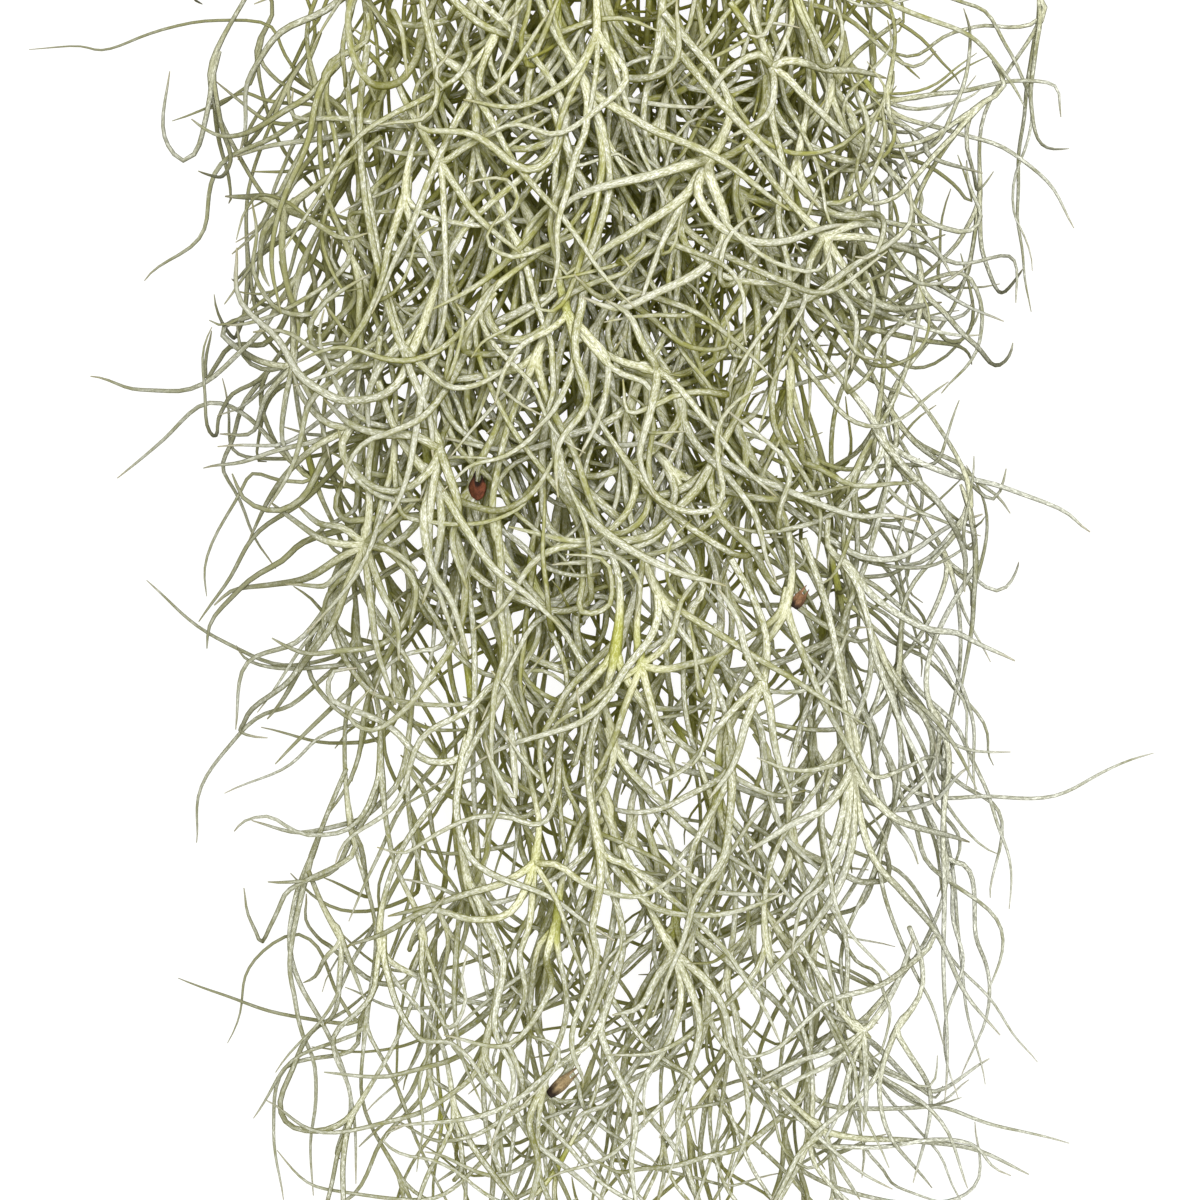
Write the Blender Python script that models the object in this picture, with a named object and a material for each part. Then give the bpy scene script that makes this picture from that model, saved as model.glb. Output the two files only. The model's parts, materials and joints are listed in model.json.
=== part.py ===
"""One bunch of Spanish moss (Tillandsia usneoides), picked and laid down on a surface.

The bunch lies along Y with its gathered, picked end at +Y and its thin hanging tips at -Y, and
rests on z = 0. Each leafy strand is one closed body: a three-sided stem with a swollen sheath at
every growth point, and thread-like tapering leaves raised from the faces of that sheath. Three dry
brown bracts sit against strands. Lengths are in millimetres until a body is finished.
"""

import itertools
import math

import bmesh
import bpy
import numpy as np
from mathutils.bvhtree import BVHTree

SEED = 318
MM = 0.001
BUNCH = "spanish_moss_bunch"

# Envelope of the stems along the bunch: y, middle x, half width, thickness over the surface.
ENVELOPE = (
    (-188.0, 2.0, 12.0, 12.0),
    (-150.0, 3.0, 30.0, 22.0),
    (-100.0, 5.0, 47.0, 32.0),
    (-40.0, 5.0, 51.0, 40.0),
    (30.0, 0.0, 55.0, 46.0),
    (100.0, -5.0, 51.0, 48.0),
    (146.0, -5.0, 28.0, 36.0),
)

# Strands: four run low and carry the rest spots, the others fill the half oval above them.
LOW_LANES = (
    (-0.66, 0.05, 138.0, -150.0),
    (0.66, 0.05, 132.0, -146.0),
    (-0.20, 0.04, 118.0, -120.0),
    (0.24, 0.04, 126.0, -168.0),
)
HIGH_STRANDS = 29
TOP_Y = (92.0, 146.0)
LATE_TOP_Y = (10.0, 70.0)
TIP_Y = (-184.0, -60.0)
INTERNODE = (27.0, 35.0)
FIRST_INTERNODE = (9.0, 18.0)
STEM_BOW = (1.5, 5.0)
WAVE_LENGTH = (70.0, 130.0)
WAVE_WIDTH = 0.13

# Rest spots: flat undersides of low stems, 11 mm long, as low lane and y.
REST_SPOTS = ((0, 82.0), (0, -66.0), (1, 78.0), (1, -62.0))
REST_LENGTH = 11.0
REST_RADIUS = 1.0

STEM_RADIUS = 0.88
SHEATH_RADIUS = 1.2
SHEATH_HALF = 1.7
ROOT_RADIUS = 1.15
LEAF_BASE_RADIUS = 0.80
LEAF_END_RADIUS = 0.50
FIRST_CHORD = 5.2
LEAF_LENGTH = (30.0, 48.0)
LEAF_OPENING = (30.0, 44.0)
LEAF_CURL = (32.0, 165.0)
LEAF_DROOP = 0.45
LEAF_TWIST = (-1.5, 1.5)
LEAVES_AT_POINT = (2, 2, 3)
BUD_LENGTH = 3.0

# Leaves that stand clear of the bunch: way points x, y from the root side out to the tip.
STRAY_LEAVES = (
    ((-65.0, 101.0), (-80.0, 95.0), (-99.0, 94.0)),
    ((-60.0, 86.0), (-66.0, 84.0), (-73.0, 83.0)),
    ((-64.0, 73.0), (-68.0, 62.0), (-77.0, 54.0)),
    ((-66.0, 37.0), (-76.0, 36.0), (-88.0, 37.5)),
    ((-64.0, 34.0), (-74.0, 28.0), (-82.0, 21.5)),
    ((-60.0, 22.0), (-65.0, 12.0), (-67.0, 2.0)),
    ((-50.0, -12.0), (-64.0, -8.0), (-78.0, 3.0)),
    ((-55.0, -18.0), (-67.0, -27.0), (-70.0, -42.0)),
    ((-45.0, -22.0), (-55.0, -28.0), (-64.0, -33.0)),
    ((-44.0, -68.0), (-60.0, -70.0), (-73.0, -65.0)),
    ((-54.0, -56.0), (-61.0, -66.0), (-65.0, -77.0)),
    ((-50.0, -77.0), (-56.0, -84.0), (-60.0, -89.0)),
    ((57.0, 85.0), (66.0, 87.0), (80.0, 86.0), (80.0, 82.0)),
    ((67.0, 79.0), (75.0, 75.0), (81.5, 64.5)),
    ((70.0, 98.0), (72.0, 78.0), (73.0, 56.0)),
    ((60.0, 58.0), (65.0, 50.0), (64.0, 38.0), (59.0, 35.0)),
    ((62.0, 20.0), (72.0, 18.0), (82.0, 12.0)),
    ((58.0, 10.0), (62.0, 0.0), (67.0, -10.0)),
    ((57.0, -22.0), (66.0, -32.0), (67.0, -46.0), (68.5, -54.0)),
    ((60.0, -34.0), (75.0, -33.0), (94.5, -26.5)),
    ((58.0, -42.0), (60.0, -62.0), (59.0, -86.0)),
    ((52.0, -48.0), (60.0, -60.0), (75.0, -79.5)),
    ((44.0, -87.0), (58.0, -86.5), (79.0, -93.0)),
    ((40.0, -89.0), (58.0, -92.0), (71.0, -97.0)),
)

# Dry brown bracts: name, x, y, length, radius.
DRY_BRACTS = (
    ("dry_bract_upper", -24.0, 23.0, 5.4, 1.45),
    ("dry_bract_lower", 0.0, -84.0, 7.6, 1.05),
    ("dry_bract_side", 36.0, -9.0, 4.4, 1.0),
)

# Spacing of one strand from the next, and how the bunch is settled to keep it.
GAP = 0.34
SETTLE_GAP = 0.5
SETTLE_PASSES = 420
PAIR_REACH = 4.0
ROOT_SPREAD = 3.6
ROOT_CLEAR = 2.5
HEADROOM = 9.0
SIDEROOM = 13.0
FLOOR_CLEAR = 0.2
CLEARING_ROUNDS = 8

SILVER_GREEN = (0.42, 0.43, 0.27)
SOFT_GREEN = (0.33, 0.35, 0.17)
DEEP_OLIVE = (0.22, 0.23, 0.10)
DRY_BROWN = (0.13, 0.055, 0.022)

SIDES = 3
TURN = 2.0 * math.pi / SIDES
UP = np.array((0.0, 0.0, 1.0))

TOP, SHEATH, MIDDLE, RESTING, LEAF = range(5)


def unit(vector):
    return vector / max(float(np.linalg.norm(vector)), 1e-9)


def across(direction):
    """Two unit vectors square to a direction, the first as near upright as it can be."""
    reference = UP if abs(direction[2]) < 0.9 else np.array((1.0, 0.0, 0.0))
    first = unit(reference - direction * float(reference @ direction))
    return first, np.cross(direction, first)


def envelope(y):
    rows = np.array(ENVELOPE)
    return [float(np.interp(y, rows[:, 0], rows[:, column])) for column in (1, 2, 3)]


class Bunch:
    """Centre lines of the bunch: one tree of points a strand, each point with its parent."""

    def __init__(self):
        self.place = []
        self.radius = []
        self.parent = []
        self.owner = []
        self.role = []
        self.stems = []
        self.leaves = {}
        self.strays = set()

    def add(self, place, radius, parent, owner, role):
        self.place.append(np.array(place, float))
        self.radius.append(radius)
        self.parent.append(parent)
        self.owner.append(owner)
        self.role.append(role)
        return len(self.place) - 1

    def add_leaf(self, root, owner, places):
        """A leaf from a growth point through some places, the last one its tip."""
        parent = root
        line = []
        for step, place in enumerate(places):
            share = step / (len(places) - 1)
            radius = LEAF_BASE_RADIUS + (LEAF_END_RADIUS - LEAF_BASE_RADIUS) * share**2
            if step == len(places) - 1:
                radius = LEAF_END_RADIUS * 0.5
            parent = self.add(place, radius, parent, owner, LEAF)
            line.append(parent)
        self.leaves.setdefault(root, []).append(line)
        return line


def lane_places(rng, lane, spots):
    """Places and roles of the stem points of one strand, from its picked end to its tip."""
    side, height, top, tip = lane
    waves = rng.uniform(*WAVE_LENGTH, 4)
    phases = rng.uniform(0.0, 2.0 * math.pi, 4)
    low = height < 0.1

    def at(y):
        middle, half, thick = envelope(y)
        sway = math.sin(2 * math.pi * y / waves[0] + phases[0])
        sway += 0.5 * math.sin(4 * math.pi * y / waves[1] + phases[1])
        rise = math.sin(2 * math.pi * y / waves[2] + phases[2])
        wide = WAVE_WIDTH * (0.5 if low else 1.0)
        x = middle + half * (side + wide * sway)
        z = 1.3 + thick * max(height + (0.02 if low else 0.10) * rise, 0.0)
        return np.array((x, y, z))

    levels = [top, top - float(rng.uniform(*FIRST_INTERNODE))]
    while levels[-1] - INTERNODE[1] > tip:
        levels.append(levels[-1] - float(rng.uniform(*INTERNODE)))
    resting = set()
    for spot in spots:
        gaps = [abs((a + b) / 2 - spot) for a, b in zip(levels, levels[1:])]
        resting.add(gaps.index(min(gaps)))
    places = [at(top)]
    roles = [TOP]
    bend = 1.0 if rng.random() < 0.5 else -1.0
    for index, (y, below) in enumerate(zip(levels, levels[1:])):
        start, end = at(y), at(below)
        bow = bend * float(rng.uniform(*STEM_BOW))
        bend = -bend
        if index in resting:
            for offset in (-REST_LENGTH / 2, REST_LENGTH / 2):
                point = start + (end - start) * (0.5 + offset / (y - below))
                point[2] = REST_RADIUS / 2
                places.append(point)
                roles.append(RESTING)
        else:
            point = (start + end) / 2
            point[0] += bow
            point[2] += 0.5 * abs(bow) * (0 if low else float(rng.uniform(-1.0, 1.0)))
            places.append(point)
            roles.append(MIDDLE)
        places.append(end)
        roles.append(SHEATH)
    return places, roles


def leaf_places(rng, root, along, azimuth):
    """Places of one leaf: it leaves the stem at a narrow angle and curls steadily away."""
    length = float(rng.uniform(*LEAF_LENGTH))
    opening = math.radians(float(rng.uniform(*LEAF_OPENING)))
    curl = math.radians(LEAF_CURL[0] + (LEAF_CURL[1] - LEAF_CURL[0]) * float(rng.random()) ** 1.4)
    twist = float(rng.uniform(*LEAF_TWIST))
    first, second = across(along)
    chords = 5 if length > 43 else 4
    steps = [FIRST_CHORD] + [(length - FIRST_CHORD) / (chords - 1)] * (chords - 1)
    point = np.array(root)
    travelled = 0.0
    places = []
    for step in steps:
        share = (travelled + step / 2) / length
        angle = opening + (curl - opening) * share
        turn = azimuth + twist * share
        aside = first * math.cos(turn) + second * math.sin(turn)
        direction = along * math.cos(angle) + aside * math.sin(angle)
        direction[1] -= LEAF_DROOP * share
        direction[2] *= 0.7
        point = point + unit(direction) * step
        travelled += step
        places.append(point)
    return places


def through(points, start, chords):
    """Even places along a smooth line that sets off from a root and passes through the points."""
    knots = [start[0] - start[1] * 8.0, start[0], *points, 2 * points[-1] - points[-2]]
    fine = []
    for a, b, c, d in zip(knots, knots[1:], knots[2:], knots[3:]):
        for t in np.linspace(0.0, 1.0, 12, endpoint=False):
            bend = (2 * a - 5 * b + 4 * c - d) * t * t + (3 * b - a - 3 * c + d) * t**3
            fine.append(0.5 * (2 * b + (c - a) * t + bend))
    fine = np.array([*fine, points[-1]])
    run = np.concatenate(([0.0], np.cumsum(np.linalg.norm(np.diff(fine, axis=0), axis=1))))
    first = min(FIRST_CHORD, run[-1] / 3)
    marks = [first + (run[-1] - first) * k / (chords - 1) for k in range(chords)]
    return [np.array([np.interp(mark, run, fine[:, axis]) for axis in range(3)]) for mark in marks]


def lanes(rng):
    """Side, height, top and tip of every strand."""
    found = list(LOW_LANES)
    for index in range(HIGH_STRANDS):
        spread = math.sqrt((index + 0.5) / HIGH_STRANDS)
        angle = math.pi * ((0.618034 * index + 0.21) % 1.0)
        side = 0.97 * spread * math.cos(angle)
        height = 0.12 + 0.84 * spread * math.sin(angle)
        late = index % 4 == 2
        top = float(rng.uniform(*(LATE_TOP_Y if late else TOP_Y)))
        tip = float(rng.uniform(*TIP_Y))
        found.append((side, height, top, min(tip, top - 90.0)))
    return found


def compose(rng):
    """The whole bunch as centre lines, before it settles."""
    bunch = Bunch()
    for owner, lane in enumerate(lanes(rng)):
        spots = [y for low, y in REST_SPOTS if low == owner]
        places, roles = lane_places(rng, lane, spots)
        stem = []
        for place, role in zip(places, roles):
            radius = REST_RADIUS if role == RESTING else STEM_RADIUS
            parent = stem[-1] if stem else -1
            stem.append(bunch.add(place, radius, parent, owner, role))
        bunch.stems.append(stem)
    claimed = place_strays(bunch)
    for owner, stem in enumerate(bunch.stems):
        for index, point in enumerate(stem):
            if bunch.role[point] != SHEATH:
                continue
            last = point == stem[-1]
            ahead = bunch.place[point if last else stem[index + 1]]
            along = unit(ahead - bunch.place[stem[index - 1]])
            wanted = int(rng.choice(LEAVES_AT_POINT)) + (1 if last else 0)
            wanted = min(wanted, 3) - claimed.get(point, 0)
            azimuth = float(rng.uniform(0.0, 2.0 * math.pi))
            for leaf in range(max(wanted, 0)):
                turn = azimuth + leaf * TURN + float(rng.uniform(-0.2, 0.2))
                places = leaf_places(rng, bunch.place[point], along, turn)
                bunch.add_leaf(point, owner, places)
    return bunch


def place_strays(bunch):
    """Roots each stray leaf at the nearest free growth point and says how many each holds."""
    claimed = {}
    sheaths = [i for i, role in enumerate(bunch.role) if role == SHEATH]
    for way in STRAY_LEAVES:
        start = np.array(way[0])
        free = [i for i in sheaths if claimed.get(i, 0) < 2]
        root = min(free, key=lambda i: stray_cost(bunch.place[i], start))
        claimed[root] = claimed.get(root, 0) + 1
        base = bunch.place[root]
        points = []
        for step, (x, y) in enumerate(way):
            share = (step + 1) / len(way)
            z = base[2] * (1 - 0.35 * share) + 3.0 * share
            points.append(np.array((x, y, z)))
        if np.linalg.norm(points[0][:2] - base[:2]) < FIRST_CHORD + 3:
            points = points[1:]
        along = unit(base - bunch.place[bunch.parent[root]])
        reach = np.linalg.norm(points[-1] - base)
        places = through(points, (base, along), 5 if reach > 26 else 4)
        bunch.strays.update(bunch.add_leaf(root, bunch.owner[root], places))
    return claimed


def stray_cost(place, start):
    """How poorly a growth point suits a stray leaf: far off, or further out than its start."""
    apart = place[:2] - start
    outward = max(0.0, math.copysign(1.0, start[0]) * apart[0])
    return float(np.hypot(*apart)) + 6.0 * outward + 0.15 * place[2]


def nearest(a, b, c, d):
    """Shares along the segments ab and cd of their closest points, and the vector between."""
    ab, cd, ac = b - a, d - c, a - c
    aa = (ab * ab).sum(1)
    cc = (cd * cd).sum(1)
    both = (ab * cd).sum(1)
    first = (ab * ac).sum(1)
    second = (cd * ac).sum(1)
    slack = np.maximum(aa * cc - both * both, 1e-9)
    s = np.clip((both * second - first * cc) / slack, 0.0, 1.0)
    t = np.clip((both * s + second) / cc, 0.0, 1.0)
    s = np.clip((both * t - first) / aa, 0.0, 1.0)
    return s, t, (a + ab * s[:, None]) - (c + cd * t[:, None])


def close_pairs(place, start, end, reach):
    """Pairs of segments whose boxes come within a reach and that share no point."""
    low = np.minimum(place[start], place[end]) - reach / 2
    high = np.maximum(place[start], place[end]) + reach / 2
    found = []
    for begin in range(0, len(start), 400):
        rows = slice(begin, begin + 400)
        near = np.ones((len(start[rows]), len(start)), bool)
        for axis in range(3):
            near &= low[rows, None, axis] < high[None, :, axis]
            near &= high[rows, None, axis] > low[None, :, axis]
        i, j = np.nonzero(near)
        i = i + begin
        keep = i < j
        found.append(np.stack((i[keep], j[keep]), 1))
    pairs = np.concatenate(found)
    i, j = pairs[:, 0], pairs[:, 1]
    apart = (start[i] != start[j]) & (start[i] != end[j])
    apart &= (end[i] != start[j]) & (end[i] != end[j])
    return pairs[apart]


def next_along(bunch, point):
    """The stem point after a growth point, or the one before where it is the last."""
    stem = bunch.stems[bunch.owner[point]]
    index = stem.index(point)
    return stem[index + 1] if point != stem[-1] else stem[index - 1]


def settle(bunch):
    """Moves the centre lines apart until no strand or leaf crosses another."""
    home = np.array(bunch.place)
    place = home.copy()
    radius = np.array(bunch.radius)
    parent = np.array(bunch.parent)
    role = np.array(bunch.role)
    end = np.nonzero(parent >= 0)[0]
    start = parent[end]
    wide = np.maximum(radius[start], radius[end])
    wide[role[end] == LEAF] = radius[end][role[end] == LEAF]
    wide[np.isin(end, [leaf[0] for group in bunch.leaves.values() for leaf in group])] = ROOT_RADIUS
    length = np.linalg.norm(home[end] - home[start], axis=1)
    leafy = role == LEAF
    resting = role == RESTING
    floor = np.where(resting, radius / 2, radius + FLOOR_CLEAR)
    floor[role == SHEATH] = SHEATH_RADIUS + FLOOR_CLEAR
    form = home[end] - home[start]
    firsts = [[leaf[0] for leaf in leaves] for leaves in bunch.leaves.values()]
    kin = np.array([pair for group in firsts for pair in itertools.combinations(group, 2)])
    rooted = np.array([first for group in firsts for first in group])
    base = parent[rooted]
    onward = np.array([next_along(bunch, point) for point in base])
    rows = np.array(ENVELOPE)
    inner = leafy & ~np.isin(np.arange(len(place)), list(bunch.strays))
    pairs = None
    for step in range(SETTLE_PASSES):
        fade = 1.0 if step < SETTLE_PASSES * 0.7 else 0.0
        if step % 12 == 0:
            pairs = close_pairs(place, start, end, PAIR_REACH)
        pull = place[start] + form - place[end]
        place[end] += pull * (0.06 * fade * leafy[end])[:, None]
        place[~leafy] += (home[~leafy] - place[~leafy]) * 0.03 * fade
        chord = place[end] - place[start]
        long = np.linalg.norm(chord, axis=1)
        fix = chord * ((long - length) / long * 0.4)[:, None]
        share = np.where(leafy[end] & ~leafy[start], 0.1, 0.5)[:, None]
        np.add.at(place, start, fix * share)
        np.add.at(place, end, -fix * (1 - share))
        i, j = pairs[:, 0], pairs[:, 1]
        s, t, away = nearest(place[start[i]], place[end[i]], place[start[j]], place[end[j]])
        apart = np.linalg.norm(away, axis=1)
        short = wide[i] + wide[j] + SETTLE_GAP - apart
        hit = short > 0
        i, j, s, t = i[hit], j[hit], s[hit], t[hit]
        push = away[hit] / np.maximum(apart[hit], 1e-6)[:, None] * (0.5 * short[hit])[:, None]
        moved = np.zeros_like(place)
        count = np.zeros(len(place))
        for side, share, sign in ((i, s, 1.0), (j, t, -1.0)):
            scale = 1.0 / ((1 - share) ** 2 + share**2)
            for ends, weight in ((start[side], 1 - share), (end[side], share)):
                np.add.at(moved, ends, push * (sign * scale * weight)[:, None])
                np.add.at(count, ends, weight)
        place += moved / np.maximum(count, 1.0)[:, None] * 1.1
        between = place[kin[:, 0]] - place[kin[:, 1]]
        apart = np.maximum(np.linalg.norm(between, axis=1), 1e-6)
        fix = between * (0.4 * np.maximum(ROOT_SPREAD - apart, 0.0) / apart)[:, None]
        np.add.at(place, kin[:, 0], fix)
        np.add.at(place, kin[:, 1], -fix)
        line = place[onward] - place[base]
        line /= np.linalg.norm(line, axis=1)[:, None]
        out = place[rooted] - place[base]
        out -= line * (out * line).sum(1)[:, None]
        aside = np.maximum(np.linalg.norm(out, axis=1), 1e-6)
        place[rooted] += out * (0.6 * np.maximum(ROOT_CLEAR - aside, 0.0) / aside)[:, None]
        middle, half, roof = (np.interp(place[:, 1], rows[:, 0], rows[:, k]) for k in (1, 2, 3))
        over = np.abs(place[:, 0] - middle) - half - SIDEROOM
        over = np.where((over > 0) & inner, over, 0.0)
        place[:, 0] -= 0.2 * over * np.sign(place[:, 0] - middle)
        roof = roof + HEADROOM
        place[:, 2] = np.minimum(place[:, 2], roof)
        place[:, 2] = np.maximum(place[:, 2], floor)
        place[resting, 2] = radius[resting] / 2
        place = np.round(place, 6)
    bunch.place = list(place)
    return place, start, end, wide


def ring(middle, direction, radius, turn):
    """Corners of a three-sided ring round a direction, the first one at a turn from upright."""
    first, second = across(direction)
    angles = [turn + TURN * corner for corner in range(SIDES)]
    return [middle + radius * (first * math.cos(a) + second * math.sin(a)) for a in angles]


def push_cap(body, cap, corners):
    """Extrudes an end face on to new corners and gives the new end face."""
    grown = bmesh.ops.extrude_discrete_faces(body, faces=[cap])["faces"][0]
    for corner, place in zip(grown.verts, corners):
        corner.co = place
    return grown


def fitted_ring(cap, middle, direction, radius):
    """Ring for a cap to move to, turned so that its sides twist as little as they can."""
    corners = [np.array(corner.co) for corner in cap.verts]
    centre = sum(corners) / SIDES
    first, second = across(direction)
    sine = cosine = 0.0
    for index, corner in enumerate(corners):
        offset = corner - centre
        angle = math.atan2(float(offset @ second), float(offset @ first)) - TURN * index
        weight = float(np.linalg.norm(offset))
        sine += weight * math.sin(angle)
        cosine += weight * math.cos(angle)
    return ring(middle, direction, radius, math.atan2(sine, cosine))


def start_body(first_ring, second_ring):
    """A three-sided prism between two rings, and its far end face."""
    body = bmesh.new()
    bmesh.ops.create_cone(
        body, cap_ends=True, segments=SIDES, radius1=1.0, radius2=1.0, depth=2.0
    )
    body.normal_update()
    cap = max(body.faces, key=lambda face: face.normal.z)
    for corner, near, far in zip(cap.verts, first_ring, second_ring):
        for edge in corner.link_edges:
            other = edge.other_vert(corner)
            if other not in cap.verts[:]:
                other.co = near
        corner.co = far
    return body, cap


def sheath_turn(azimuths):
    """Turn of a sheath whose three sides face its leaves best."""
    best = (math.inf, 0.0)
    for step in range(24):
        turn = TURN * step / 24
        cost = 0.0
        taken = []
        for azimuth in azimuths:
            side = round((azimuth - turn - TURN / 2) / TURN)
            miss = azimuth - turn - TURN / 2 - side * TURN
            cost += miss * miss + (0.6 if side % SIDES in taken else 0.0)
            taken.append(side % SIDES)
        best = min(best, (cost, turn))
    return best[1]


def faces_for(faces, firsts):
    """The sheath face for each leaf, so that the leaves set off with no crossing."""
    middles = [np.array(face.calc_center_median()) for face in faces]
    normals = [np.array(face.normal) for face in faces]
    best = (math.inf, ())
    for chosen in itertools.permutations(range(len(faces)), len(firsts)):
        cost = 0.0
        for index, first in zip(chosen, firsts):
            lead = first - middles[index]
            reach = float(np.linalg.norm(lead))
            facing = float(normals[index] @ lead) / reach
            cost += reach * reach + (40.0 * (0.45 - facing) if facing < 0.45 else 0.0)
        best = min(best, (cost, chosen))
    return [faces[index] for index in best[1]]


def raise_leaf(body, cap, places, radii):
    """Raises one leaf from a sheath face."""
    line = [np.array(cap.calc_center_median()), *places[1:]]
    for index in range(1, len(line) - 1):
        ahead = unit(line[index + 1] - line[index])
        behind = unit(line[index] - line[index - 1])
        direction = unit(ahead + behind)
        cap = push_cap(body, cap, fitted_ring(cap, line[index], direction, radii[index]))
    tip = bmesh.ops.poke(body, faces=[cap])["verts"][0]
    tip.co = line[-1]


def grow_strand(bunch, stem):
    """One leafy strand as one closed body."""
    places = [bunch.place[point] for point in stem]
    body = cap = None
    previous = None
    for index, point in enumerate(stem):
        role = bunch.role[point]
        ahead = places[min(index + 1, len(stem) - 1)]
        behind = places[max(index - 1, 0)]
        along = unit(unit(ahead - places[index]) + unit(places[index] - behind))
        if index in (0, len(stem) - 1):
            along = unit(ahead - behind)
        if role == RESTING:
            along = unit(along * np.array((1.0, 1.0, 0.0)))
        if index == 0:
            previous = ring(places[0], along, STEM_RADIUS, 0.0)
            continue
        if role != SHEATH:
            corners = ring(places[index], along, bunch.radius[point], 0.0)
            if role == RESTING:
                corners = [corner * (1.0, 1.0, float(corner[2] > 0.1)) for corner in corners]
            if body is None:
                body, cap = start_body(previous, corners)
            else:
                cap = push_cap(body, cap, fit_order(cap, corners))
            continue
        leaves = bunch.leaves.get(point, [])
        first, second = across(along)
        azimuths = []
        for leaf in leaves:
            out = bunch.place[leaf[0]] - places[index]
            azimuths.append(math.atan2(float(out @ second), float(out @ first)))
        turn = sheath_turn(azimuths)
        near = ring(places[index] - along * SHEATH_HALF, along, SHEATH_RADIUS * 0.85, turn)
        far = ring(places[index] + along * SHEATH_HALF, along, SHEATH_RADIUS, turn)
        cap = push_cap(body, cap, fit_order(cap, near))
        cap = push_cap(body, cap, fit_order(cap, far))
        body.normal_update()
        walls = [other for edge in cap.edges for other in edge.link_faces if other is not cap]
        faces = bmesh.ops.triangulate(body, faces=walls)["faces"]
        body.normal_update()
        roots = faces_for(faces, [bunch.place[leaf[0]] for leaf in leaves])
        for leaf, root in zip(leaves, roots):
            line = [places[index], *[bunch.place[i] for i in leaf]]
            raise_leaf(body, root, line, [0.0, *[bunch.radius[i] for i in leaf]])
        if point == stem[-1]:
            bud = bmesh.ops.poke(body, faces=[cap])["verts"][0]
            bud.co = places[index] + along * (SHEATH_HALF + BUD_LENGTH)
    if bunch.role[stem[-1]] != SHEATH:
        bud = bmesh.ops.poke(body, faces=[cap])["verts"][0]
        bud.co = places[-1] + unit(places[-1] - places[-2]) * BUD_LENGTH
    return body


def fit_order(cap, corners):
    """The corners in the order that twists the cap least."""
    middle = sum(corners) / SIDES
    held = [np.array(corner.co) for corner in cap.verts]
    centre = sum(held) / SIDES
    best = None
    for shift in range(SIDES):
        turned = corners[shift:] + corners[:shift]
        cost = sum(
            float(np.linalg.norm((a - centre) - (b - middle))) for a, b in zip(held, turned)
        )
        if best is None or cost < best[0]:
            best = (cost, turned)
    return best[1]


def crossings(bodies):
    """Where the bodies cross themselves or each other, as the strands and the place."""
    found = []
    trees = []
    for body in bodies:
        bmesh.ops.triangulate(body, faces=body.faces)
        body.verts.index_update()
        body.faces.index_update()
        body.faces.ensure_lookup_table()
        trees.append(BVHTree.FromBMesh(body))
    for first, body in enumerate(bodies):
        for second in range(first, len(bodies)):
            for near, far in trees[first].overlap(trees[second]):
                face, other = body.faces[near], bodies[second].faces[far]
                if first == second and (near >= far or set(face.verts) & set(other.verts)):
                    continue
                middle = (face.calc_center_median() + other.calc_center_median()) / 2
                found.append(((first, second), np.array(middle)))
    return found


def clear(bunch, found):
    """Leaves out the leaf nearest each crossing, so that every strand has room."""
    dropped = set()
    for strands, middle in found:
        best = (math.inf, None)
        for root, leaves in bunch.leaves.items():
            if bunch.owner[root] not in strands:
                continue
            for leaf in leaves:
                line = np.array([bunch.place[i] for i in (root, *leaf)])
                point = np.repeat(middle[None], len(leaf), 0)
                away = nearest(point, point + 1e-3, line[:-1], line[1:])[2]
                reach = float(np.linalg.norm(away, axis=1).min())
                reach += 2.0 if leaf[0] in bunch.strays else 0.0
                best = min(best, (reach, (root, leaf[0])))
        dropped.add(best[1])
    for root, first in dropped:
        bunch.leaves[root] = [leaf for leaf in bunch.leaves[root] if leaf[0] != first]


def finish(body, name, shift, material, collection):
    """Turns a grown body into a named object of the bunch, in metres."""
    bmesh.ops.translate(body, verts=body.verts, vec=shift)
    bmesh.ops.scale(body, verts=body.verts, vec=(MM, MM, MM))
    bmesh.ops.triangulate(body, faces=body.faces)
    mesh = bpy.data.meshes.new(name)
    body.to_mesh(mesh)
    body.free()
    mesh.materials.append(material)
    thing = bpy.data.objects.new(name, mesh)
    collection.objects.link(thing)
    return thing


def grow_bract(base, axis, length, radius):
    """A dry bract: a pointed scale that splits into two tips."""
    rings = ((0.0, 0.45), (0.3, 1.0), (0.62, 0.8))
    bend = across(axis)[0] * length * 0.08
    middles = [base + axis * length * share + bend * share * share for share, _ in rings]
    body, cap = start_body(
        ring(middles[0], axis, radius * rings[0][1], 0.0),
        ring(middles[1], axis, radius * rings[1][1], 0.0),
    )
    far = fit_order(cap, ring(middles[2], axis, radius * rings[2][1], 0.0))
    cap = push_cap(body, cap, far)
    tip = bmesh.ops.poke(body, faces=[cap])["verts"][0]
    tip.co = base + axis * length + bend
    return body


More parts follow.
